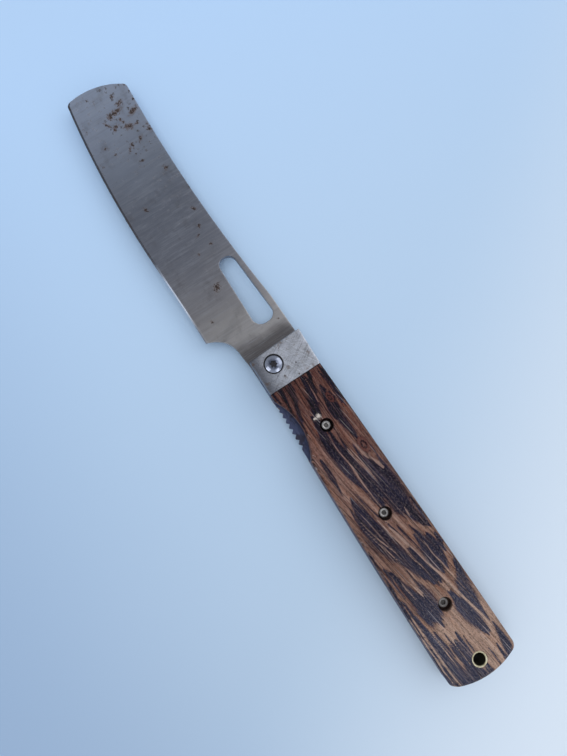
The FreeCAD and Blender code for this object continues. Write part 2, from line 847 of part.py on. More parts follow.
def make_pivot_barrel():
    """Barrel nut: domed head in the front bolster, hollow end in the rear one."""
    body = new_body("pivot_barrel", Size(0.0, "0"))
    seat = total_thickness - d.pivot_seat_depth
    rim = total_thickness - d.pivot_rim_depth
    crown = total_thickness + d.pivot_dome
    head = d.pivot_head_diameter / 2
    barrel = d.barrel_diameter / 2
    bore = d.pivot_thread / 2
    bottom = d.pivot_seat_depth + d.barrel_end_gap
    bore_top = bottom + d.pivot_thread_length
    axis = Size(0.0, "0")
    dome_rise = crown - rim
    dome_radius = (head * head + dome_rise * dome_rise) / (dome_rise * 2)
    dome_middle = (head / 2, crown - bow(dome_radius, head / 2))
    profile = [
        ((bore, bottom), None),
        ((barrel, bottom), None),
        ((barrel, seat), None),
        ((head, seat), None),
        ((head, rim), dome_middle),
        ((axis, crown), None),
        ((axis, bore_top), None),
        ((bore, bore_top), None),
    ]
    revolve(body, "pivot_barrel_profile", profile)
    star_recess(body, "pivot_barrel_star", crown, d.star_depth)
    return body


def make_pivot_screw():
    """Screw that closes the barrel, its head sunk in the rear bolster."""
    body = new_body("pivot_screw", d.pivot_seat_depth, REAR)
    head = d.pivot_head_diameter / 2
    shank = d.pivot_thread / 2 - d.fit_clearance
    length = d.pivot_thread_length
    axis = Size(0.0, "0")
    profile = [
        ((axis, -length), None),
        ((shank, -length), None),
        ((shank, axis), None),
        ((head, axis), None),
        ((head, d.pivot_screw_head), None),
        ((axis, d.pivot_screw_head), None),
    ]
    turned = revolve(body, "pivot_screw_profile", profile)
    dress(body, "Chamfer", turned, level_edges(d.pivot_screw_head), Size=d.bolster_chamfer)
    star_recess(body, "pivot_screw_star", d.pivot_screw_head, d.star_depth)
    return body


def make_scale_screws(label, side):
    """Three socket screws that hold a scale to its liner, drawn from the liner's inner face."""
    height = front_liner_inside if side == FRONT else rear_liner_inside
    body = new_body(label, height, side)
    seat = d.liner_thickness + d.scale_thickness - d.screw_recess - d.screw_head_height
    crown = seat + d.screw_head_height
    centres = mirrored(scale_screws_at, side)
    shanks = new_sketch(body, f"{label}_shanks", d.screw_end_gap)
    heads = new_sketch(body, f"{label}_heads", seat)
    sockets = new_sketch(body, f"{label}_sockets", crown)
    for centre in centres:
        draw_circle(shanks, centre, d.screw_diameter / 2)
        draw_circle(heads, centre, d.screw_head_diameter / 2)
        draw_hexagon(sockets, centre, d.socket_flats)
    pad(body, shanks, seat - d.screw_end_gap)
    head = pad(body, heads, d.screw_head_height)
    dress(body, "Chamfer", head, level_edges(crown), Size=d.screw_head_chamfer)
    pocket_down(body, sockets, d.socket_depth)
    return body


def make_ring(label, level, thickness, outside, bore, at):
    body = new_body(label, level)
    sketch = new_sketch(body, f"{label}_ring")
    draw_circle(sketch, at, outside / 2)
    draw_circle(sketch, at, bore)
    return body, pad(body, sketch, thickness)


def make_washer(label, level):
    bore = d.barrel_diameter / 2 + d.pivot_clearance
    return make_ring(label, level, d.washer_thickness, d.washer_diameter, bore, PIVOT)[0]


def make_lanyard_tube():
    body, tube = make_ring(
        "lanyard_tube", Size(0.0, "0"), total_thickness, d.tube_diameter, d.tube_bore / 2, tube_at
    )

    def bore_mouth(edge):
        return abs(edge.Curve.Radius - d.tube_bore.value / 2) < 1e-5

    def at_either_end(edge):
        level = edge.BoundBox.ZMin
        flat = edge.BoundBox.ZLength < 1e-6
        return flat and (level < 1e-6 or level > total_thickness.value - 1e-6) and bore_mouth(edge)

    dress(body, "Chamfer", tube, at_either_end, Size=d.tube_lip)
    return body


def make_back_spacer():
    """Strip between the liners along the back, from mid-handle to the upper part of the butt."""
    body = new_body("back_spacer", rear_liner_inside)
    outer_front = d.back_middle - d.spacer_inset
    outer_butt = d.back_butt - d.spacer_inset
    toe_x = butt_corner(d.spacer_low)[0] + d.spacer_inset
    butt_x = butt_corner(d.back_butt)[0] + d.spacer_inset + d.butt_back_round / 2
    inner_butt = outer_butt - d.spacer_width
    corners = [
        ((-middle_station, outer_front), None),
        ((butt_x, outer_butt), None),
        ((toe_x, outer_butt - d.butt_back_round), None),
        ((toe_x, d.spacer_low), None),
        ((toe_x + d.spacer_toe, inner_butt), None),
        ((-middle_station, outer_front - d.spacer_width), None),
    ]
    sketch = new_sketch(body, "back_spacer_outline")
    draw_loop(sketch, corners)
    pad(body, sketch, gap)
    holes = [(centre, d.spacer_pin_diameter / 2 + d.fit_clearance) for centre in spacer_pins_at]
    drill(body, "back_spacer_holes", holes, gap)
    return body


def make_spacer_pins():
    body = new_body("spacer_pins", rear_liner_outside)
    sketch = new_sketch(body, "spacer_pin_rounds")
    for centre in spacer_pins_at:
        draw_circle(sketch, centre, d.spacer_pin_diameter / 2)
    pad(body, sketch, gap + d.liner_thickness * 2)
    return body


def make_bolster_rivets():
    """Blind pins, two in each bolster, flush with the liners' inner faces."""
    body = new_body("bolster_rivets", Size(0.0, "0"))
    length = d.liner_thickness + d.rivet_depth
    for name, level in (
        ("front_rivets", front_liner_inside),
        ("rear_rivets", rear_liner_inside - length),
    ):
        sketch = new_sketch(body, name, level)
        for centre in rivets_at:
            draw_circle(sketch, centre, d.rivet_diameter / 2)
        pad(body, sketch, length)
    return body


def make_stop_pin():
    pin = doc.addObject("Part::Cylinder", "stop_pin")
    pin.Label = "stop_pin"
    length = gap + d.liner_thickness * 2 + d.stop_pin_bury * 2
    bind(pin, Radius=d.stop_pin_diameter / 2, Height=length)
    place(pin, rear_liner_outside - d.stop_pin_bury, at=stop_pin_at)
    return pin


def make_detent_ball():
    ball = doc.addObject("Part::Sphere", "detent_ball")
    ball.Label = "detent_ball"
    bind(ball, Radius=d.ball_diameter / 2)
    place(ball, rear_liner_inside + d.ball_stand - d.ball_diameter / 2, at=detent_at)
    return ball


pieces = [
    make_blade(),
    make_liner("front_liner", FRONT),
    make_liner("rear_liner", REAR),
    make_lock_bar(),
    make_detent_ball(),
    make_bolster("front_bolster", FRONT),
    make_bolster("rear_bolster", REAR),
    make_bolster_rivets(),
    make_scale("front_scale", FRONT),
    make_scale("rear_scale", REAR),
    make_back_spacer(),
    make_spacer_pins(),
    make_stop_pin(),
    make_pivot_barrel(),
    make_pivot_screw(),
    make_washer("front_washer", front_liner_inside - d.washer_thickness),
    make_washer("rear_washer", rear_liner_inside),
    make_scale_screws("front_scale_screws", FRONT),
    make_scale_screws("rear_scale_screws", REAR),
    make_lanyard_tube(),
]
doc.recompute()

for item in doc.Objects:
    if "Invalid" in item.State or "Error" in item.State:
        raise RuntimeError(f"{item.Label} did not build: {item.State}")
for piece in pieces:
    if piece.Shape.isNull() or not piece.Shape.isValid():
        raise RuntimeError(f"{piece.Label} has no valid shape")

os.makedirs("parts", exist_ok=True)
for piece in pieces:
    piece.Shape.exportStep(os.path.join("parts", f"{piece.Label}.step"))
    print(f"{piece.Label}: {len(piece.Shape.Solids)} solid, {piece.Shape.Volume:.1f} mm3")
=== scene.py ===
import json
import math

import bpy
import numpy as np
from mathutils import Matrix, Vector, noise
from mathutils.geometry import delaunay_2d_cdt


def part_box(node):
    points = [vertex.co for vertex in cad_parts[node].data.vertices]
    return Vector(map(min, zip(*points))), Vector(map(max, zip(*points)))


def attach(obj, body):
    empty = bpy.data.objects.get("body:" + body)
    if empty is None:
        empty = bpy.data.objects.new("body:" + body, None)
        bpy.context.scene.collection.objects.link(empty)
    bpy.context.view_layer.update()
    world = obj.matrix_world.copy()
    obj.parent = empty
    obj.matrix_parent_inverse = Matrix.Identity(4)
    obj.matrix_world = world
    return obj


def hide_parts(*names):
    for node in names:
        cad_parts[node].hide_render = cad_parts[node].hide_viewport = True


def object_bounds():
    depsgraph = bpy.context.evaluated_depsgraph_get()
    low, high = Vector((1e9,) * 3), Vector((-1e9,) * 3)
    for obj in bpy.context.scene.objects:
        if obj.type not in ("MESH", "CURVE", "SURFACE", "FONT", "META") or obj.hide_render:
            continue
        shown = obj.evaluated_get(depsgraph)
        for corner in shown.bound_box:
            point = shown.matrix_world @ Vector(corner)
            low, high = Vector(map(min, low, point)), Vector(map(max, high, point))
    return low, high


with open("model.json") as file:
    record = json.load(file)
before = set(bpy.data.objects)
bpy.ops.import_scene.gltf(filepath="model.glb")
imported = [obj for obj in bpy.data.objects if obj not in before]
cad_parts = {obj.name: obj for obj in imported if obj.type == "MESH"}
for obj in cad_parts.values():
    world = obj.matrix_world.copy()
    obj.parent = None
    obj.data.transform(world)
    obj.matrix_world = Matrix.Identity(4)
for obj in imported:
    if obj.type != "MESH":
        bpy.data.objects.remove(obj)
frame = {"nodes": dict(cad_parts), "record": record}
cad_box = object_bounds()
nodes = frame["nodes"]
scene = bpy.context.scene

MILLIMETRES = 1000  # in a metre, the frame's unit
SHARP_ANGLE = 38  # degrees between faces, past which an edge is drawn sharp


def tint(code):
    """Linear colour of a six-digit display colour."""
    channels = [int(code[i:i + 2], 16) / 255 for i in (0, 2, 4)]
    linear = [c / 12.92 if c <= 0.04045 else ((c + 0.055) / 1.055) ** 2.4 for c in channels]
    return (*linear, 1.0)


def neighbours(row):
    """Pairs of neighbours in a closed row."""
    return zip(row, row[1:] + row[:1])


def fill_ramp(node, stops):
    """Sets a colour ramp's stops of (place, linear colour)."""
    bar = node.color_ramp.elements
    for i, (at, color) in enumerate(stops):
        if i >= len(bar):
            bar.new(at)
        bar[i].position = at
        bar[i].color = color


class Graph:
    """Short names for building a tree of shader nodes."""

    def __init__(self, tree):
        self.tree = tree

    def add(self, kind, *values, **settings):
        """A new node with its settings, and values fed into its first inputs."""
        node = self.tree.nodes.new(kind)
        for key, value in settings.items():
            setattr(node, key, value)
        for socket, value in zip(node.inputs, values):
            self.feed(socket, value)
        return node

    def feed(self, socket, value):
        if isinstance(value, bpy.types.NodeSocket):
            self.tree.links.new(value, socket)
        else:
            socket.default_value = value

    def fill(self, node, **values):
        """Feeds values into a node's inputs by name."""
        for name, value in values.items():
            self.feed(node.inputs[name], value)

    def math(self, operation, *values):
        return self.add("ShaderNodeMath", *values, operation=operation).outputs[0]

    def times(self, value, factor):
        return self.math("MULTIPLY", value, factor)

    def plus(self, value, other):
        return self.math("ADD", value, other)

    def minus(self, value, other):
        return self.math("SUBTRACT", value, other)

    def greater(self, value, other):
        return self.math("MAXIMUM", value, other)

    def scaled(self, value, factor, offset):
        """value * factor + offset"""
        return self.math("MULTIPLY_ADD", value, factor, offset)

    def vector(self, operation, *values):
        node = self.add("ShaderNodeVectorMath", *values, operation=operation)
        return node.outputs["Value" if operation == "LENGTH" else "Vector"]

    def split(self, place):
        return tuple(self.add("ShaderNodeSeparateXYZ", place).outputs)

    def join(self, x, y, z):
        return self.add("ShaderNodeCombineXYZ", x, y, z).outputs[0]

    def noise(self, place, stretch, detail, roughness, distortion=0.0, shift=0.0):
        node = self.add("ShaderNodeTexNoise")
        moved = self.vector("MULTIPLY_ADD", place, stretch, (shift,) * 3)
        self.fill(node, Vector=moved, Scale=1.0, Detail=detail, Roughness=roughness,
                  Distortion=distortion)
        return node.outputs[0]

    def soft(self, value, low, high, start=0.0, end=1.0):
        """Smooth step from start at low to end at high."""
        node = self.add("ShaderNodeMapRange", value, low, high, start, end,
                        interpolation_type="SMOOTHSTEP")
        return node.outputs[0]

    def ramp(self, value, stops):
        node = self.add("ShaderNodeValToRGB", value)
        fill_ramp(node, [(at, tint(code)) for at, code in stops])
        return node.outputs[0]

    def mix(self, share, first, second, blend="MIX"):
        node = self.add("ShaderNodeMix", data_type="RGBA", blend_type=blend)
        self.feed(node.inputs[0], share)
        self.feed(node.inputs[6], tint(first) if isinstance(first, str) else first)
        self.feed(node.inputs[7], tint(second) if isinstance(second, str) else second)
        return node.outputs[2]

    def stain(self, color, other, value, low, high, share, where=None):
        """Mixes another colour in as value goes from low to high, up to a share."""
        amount = self.soft(value, low, high, 0.0, share)
        return self.mix(amount if where is None else self.times(amount, where), color, other)

    def nearest(self, place, ovals):
        """Distance to the nearest of some ovals, 1 on its rim."""
        found = None
        for x, y, length, width, angle in ovals:
            oval = self.add("ShaderNodeMapping", vector_type="TEXTURE")
            self.fill(oval, Vector=place, Location=(x, y, 0), Rotation=(0, 0, math.radians(angle)),
                      Scale=(length, width, 1))
            distance = self.vector("LENGTH", oval.outputs[0])
            found = distance if found is None else self.math("MINIMUM", found, distance)
        return found

    def attribute(self, name):
        """A number painted on the piece's points."""
        return self.add("ShaderNodeAttribute", attribute_name=name).outputs["Fac"]


class Material(Graph):
    """A material with one surface. Its places are in millimetres."""

    def __init__(self, name):
        self.material = bpy.data.materials.new(name)
        self.material.use_nodes = True
        super().__init__(self.material.node_tree)
        self.tree.nodes.clear()
        self.surface = self.add("ShaderNodeBsdfPrincipled")
        self.add("ShaderNodeOutputMaterial", self.surface.outputs[0])
        here = self.add("ShaderNodeTexCoord")
        self.place = self.vector("MULTIPLY", here.outputs["Object"], (MILLIMETRES,) * 3)

    def cells(self, scale):
        """Distance to the nearest of some scattered points."""
        node = self.add("ShaderNodeTexVoronoi")
        self.fill(node, Vector=self.vector("MULTIPLY", self.place, (scale,) * 3), Scale=1.0)
        return node.outputs["Distance"]

    def away(self, centre):
        """Distance from an upright axis through (x, y)."""
        x, y, _ = self.split(self.place)
        return self.vector("LENGTH", self.join(self.minus(x, centre[0]), self.minus(y, centre[1]), 0.0))

    def bump(self, height, strength, distance):
        node = self.add("ShaderNodeBump")
        self.fill(node, Strength=strength, Distance=distance, Height=height)
        self.fill(self.surface, Normal=node.outputs[0])

    def set(self, **sockets):
        names = {"color": "Base Color", "metallic": "Metallic", "roughness": "Roughness",
                 "specular": "Specular IOR Level"}
        self.fill(self.surface, **{names[key]: value for key, value in sockets.items()})
        return self.material


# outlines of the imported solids

def outlines(node, chosen):
    """Rims round the chosen faces of a CAD node, in millimetres, largest first.
    The outer rim runs anticlockwise and the holes clockwise. chosen gets a face's corner heights.
    Corners are matched as whole micrometres."""
    mesh = nodes[node].data
    place = [tuple(round(c * 1e6) for c in v.co) for v in mesh.vertices]
    runs = set()
    for face in mesh.polygons:
        corners = [place[i] for i in face.vertices]
        if chosen([c[2] / 1000 for c in corners]):
            runs.update(neighbours(corners))
    after = {a: b for a, b in runs if (b, a) not in runs}
    rims = []
    while after:
        here = next(iter(after))
        rim = []
        while here in after:
            rim.append((here[0] / 1000, here[1] / 1000))
            here = after.pop(here)
        rims.append(rim)
    rims.sort(key=lambda rim: -abs(area(rim)))
    return [rim if (area(rim) > 0) == (i == 0) else rim[::-1] for i, rim in enumerate(rims)]


def area(rim):
    """Area inside a rim, above 0 if it runs anticlockwise."""
    return sum(a[0] * b[1] - b[0] * a[1] for a, b in neighbours(rim)) / 2


def divided(rim, step):
    """The same rim with no side longer than step."""
    points = []
    for a, b in neighbours(rim):
        count = max(1, math.ceil(math.dist(a, b) / step))
        run = (b[0] - a[0], b[1] - a[1])
        points += [(a[0] + run[0] * i / count, a[1] + run[1] * i / count) for i in range(count)]
    return points


CIRCLE_POINTS = 40


def circle(x, y, radius):
    """Clockwise, as a hole's rim."""
    turns = [-2 * math.pi * i / CIRCLE_POINTS for i in range(CIRCLE_POINTS)]
    return [(x + radius * math.cos(t), y + radius * math.sin(t)) for t in turns]


def sides(rims):
    """Each side of some rims, as a pair of points."""
    for rim in rims:
        yield from neighbours(rim)


def beside(points, a, b):
    """Share of the way from a to b that each point lies beside, and its distance from there."""
    run = np.subtract(b, a)
    along = np.clip((points - a) @ run / max(run @ run, 1e-12), 0, 1)
    return along, np.hypot(*(points - a - along[:, None] * run).T)


def clearance(points, pairs):
    """Distance of each point to the nearest of some line pieces."""
    best = np.full(len(points), 1e3)
    for a, b in pairs:
        best = np.minimum(best, beside(points, a, b)[1])
    return best


def within(points, rims):
    """Whether each point is inside the outer rim and outside the holes."""
    inside = np.zeros(len(points), bool)
    for a, b in sides(rims):
        crosses = (a[1] > points[:, 1]) != (b[1] > points[:, 1])
        if a[1] != b[1]:
            there = (b[0] - a[0]) * (points[:, 1] - a[1]) / (b[1] - a[1]) + a[0]
            inside ^= crosses & (points[:, 0] < there)
    return inside


ROW_ROOM, GRID_ROOM = 0.85, 1.25  # room kept to the rims, as shares of a row's distance


def inner_points(rims, rows, grid):
    """Rows of points that follow the rims, at the distances in rows, and an even grid inside them."""
    found = []
    for rim in rims:
        for before, here, after in zip(rim[-1:] + rim[:-1], rim, rim[1:] + rim[:1]):
            run = np.subtract(after, before)
            left = np.array([-run[1], run[0]]) / max(np.hypot(*run), 1e-9)
            found += [(np.add(here, left * row), row * ROW_ROOM) for row in rows]
    (low_x, low_y), (high_x, high_y) = np.min(rims[0], axis=0), np.max(rims[0], axis=0)
    for j, y in enumerate(np.arange(low_y, high_y, grid[1])):
        start = low_x + grid[0] * (j % 2) / 2
        found += [((x, y), rows[-1] * GRID_ROOM) for x in np.arange(start, high_x, grid[0])]
    points = np.array([p for p, _ in found])
    room = np.array([r for _, r in found])
    return points[within(points, rims) & (clearance(points, sides(rims)) > room)]


def triangles(rims, inside):
    """Triangles over the rims' area. Gives the points, the triangles and each rim's point numbers."""
    points = [p for rim in rims for p in rim] + [tuple(p) for p in inside]
    edges, numbers, start = [], [], 0
    for rim in rims:
        numbers.append(list(range(start, start + len(rim))))
        edges += neighbours(numbers[-1])
        start += len(rim)
    corners = [Vector(p) for p in points]
    spots, _, faces, origin, _, _ = delaunay_2d_cdt(corners, edges, [], 0, 1e-6)
    where = {old: new for new, olds in enumerate(origin) for old in olds}
    spots = np.array(spots)
    middles = np.array([spots[list(f)].mean(0) for f in faces])
    faces = [list(f) for f, keep in zip(faces, within(middles, rims)) if keep]
    return spots, faces, [[where[i] for i in rim] for rim in numbers]


class Shape:
    """Points and faces of a piece that is being built, in millimetres."""

    def __init__(self):
        self.points, self.faces = [], []

    def add(self, points):
        start = len(self.points)
        self.points += [tuple(p) for p in points]
        return list(range(start, len(self.points)))

    def strip(self, upper, lower):
        """Faces between two closed rows of points."""
        for i in range(len(upper)):
            j = (i + 1) % len(upper)
            self.faces.append([upper[i], lower[i], lower[j], upper[j]])

    def finish(self, name, body, node, slot, material, flipped=False, **values):
        """Makes the piece. values are numbers painted on its points, for the material."""
        if flipped:
            self.faces = [f[::-1] for f in self.faces]
        mesh = bpy.data.meshes.new(name)
        mesh.from_pydata([[c / MILLIMETRES for c in p] for p in self.points], [], self.faces)
        mesh.validate()
        mesh.shade_smooth()
        mesh.set_sharp_from_angle(angle=math.radians(SHARP_ANGLE))
        for key, numbers in values.items():
            layer = mesh.attributes.new(key, "FLOAT", "POINT")
            layer.data.foreach_set("value", np.asarray(numbers, np.float32))
        mesh.materials.append(material)
        piece = bpy.data.objects.new(name, mesh)
        scene.collection.objects.link(piece)
        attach(piece, body)
        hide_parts(node)


# slabs of the handle

MID_HEIGHT = 7.2  # middle of the handle's thickness
FACE_HEIGHT = 14.4  # outer face of the front slabs
SCALE_FACE = 4.4  # thickness of a scale or bolster
INSIDE = {1: 10.0, -1: 4.4}  # where the front and rear slabs meet their liners
FLAT = 0.005  # how far a flat face's corners may be off
RIM_STEP = 0.6
WALL_SHADE_RATE = 1.6  # how fast the painted shade grows down a sink's wall
SCREWS = [(-28.55, -3.95), (-67.2, -3.95), (-105.85, -3.95)]
TUBE = (-128.35, -3.3)
PIVOT = (1.25, 0.1)


def rough_field(points, stretch, seed):
    """Smooth random field over some points."""
    return np.array([noise.noise((x * stretch[0], y * stretch[1], seed)) for x, y in points])


def rounded(distance, radius):
    """How far a round edge lies below the face, at a distance from the rim."""
    inward = np.clip(radius - distance, 0, radius)
    return radius - np.sqrt(np.maximum(radius ** 2 - inward ** 2, 0))


def soft_least(a, b, width):
    """The smaller of two heights, with a round change between them."""
    return (a + b - np.sqrt((a - b) ** 2 + width ** 2)) / 2


def slab(name, node, side, sinks, rows, grid, face, wall_rows, slot, material, paint=None):
    """A slab on one liner, from its CAD outline, with its outer face shaped by face(points, rims).
    A sink is (x, y, radius, floor height or None, radius of the hole through)."""
    inside = INSIDE[side]
    flat = outlines(node, lambda heights: max(abs(h - inside) for h in heights) < FLAT)
    outer = divided(flat[0], RIM_STEP)
    rims = [outer] + [circle(x, y, radius) for x, y, radius, _, _ in sinks]
    spots, faces, numbers = triangles(rims, inner_points(rims, rows, grid))
    heights = face(spots, rims)
    shape = Shape()
    top = shape.add(np.column_stack([spots, heights]))
    shape.faces += [[top[i] for i in f] for f in faces]
    drop, grime = [0.0] * len(top), [0.0] * len(top)
    ends = []
    floors = [0.0] + [sink[3] or 0.0 for sink in sinks]
    for n, (rim, loop, floor) in enumerate(zip(numbers, rims, floors)):
        upper = rim
        for k in range(1, wall_rows + 1):
            level = [heights[i] + (floor - heights[i]) * k / wall_rows for i in rim]
            lower = shape.add([(*p, h) for p, h in zip(loop, level)])
            drop += [heights[i] - h for i, h in zip(rim, level)]
            # painted shade, darker down each sink's wall
            grime += [min(1.0, k / wall_rows * WALL_SHADE_RATE) if n else 0.0] * len(rim)
            shape.strip(upper, lower)
            upper = lower
        ends.append(upper)
    for n, (x, y, _, floor, hole) in enumerate(sinks, 1):
        if floor is not None:
            for height in (floor, 0.0):
                lower = shape.add([(*p, height) for p in circle(x, y, hole)])
                drop += [SCALE_FACE - height] * len(lower)
                # painted shade on the walls of the holes through
                grime += [1.0] * len(lower)
                shape.strip(ends[n], lower)
                ends[n] = lower
    loops = [[shape.points[i][:2] for i in end] for end in ends]
    _, under, under_numbers = triangles(loops, [])
    back = {new: old for rim, end in zip(under_numbers, ends) for new, old in zip(rim, end)}
    shape.faces += [[back[i] for i in reversed(f)] for f in under]
    values = paint(np.array(shape.points), np.array(drop)) if paint else {}
    values["grime"] = grime
    shape.points = [(x, y, inside + h * side) for x, y, h in shape.points]
    shape.finish(name, "handle", node, slot, material, side < 0, **values)


# figure of the wood

GRAIN_BEND, GRAIN_RISE = 38.0, 0.16  # the grain rises behind this distance, by this slope
REAR_SQUEEZE, REAR_SHIFT = -0.8, (-143, -4)  # how the rear scale turns the figure end for end
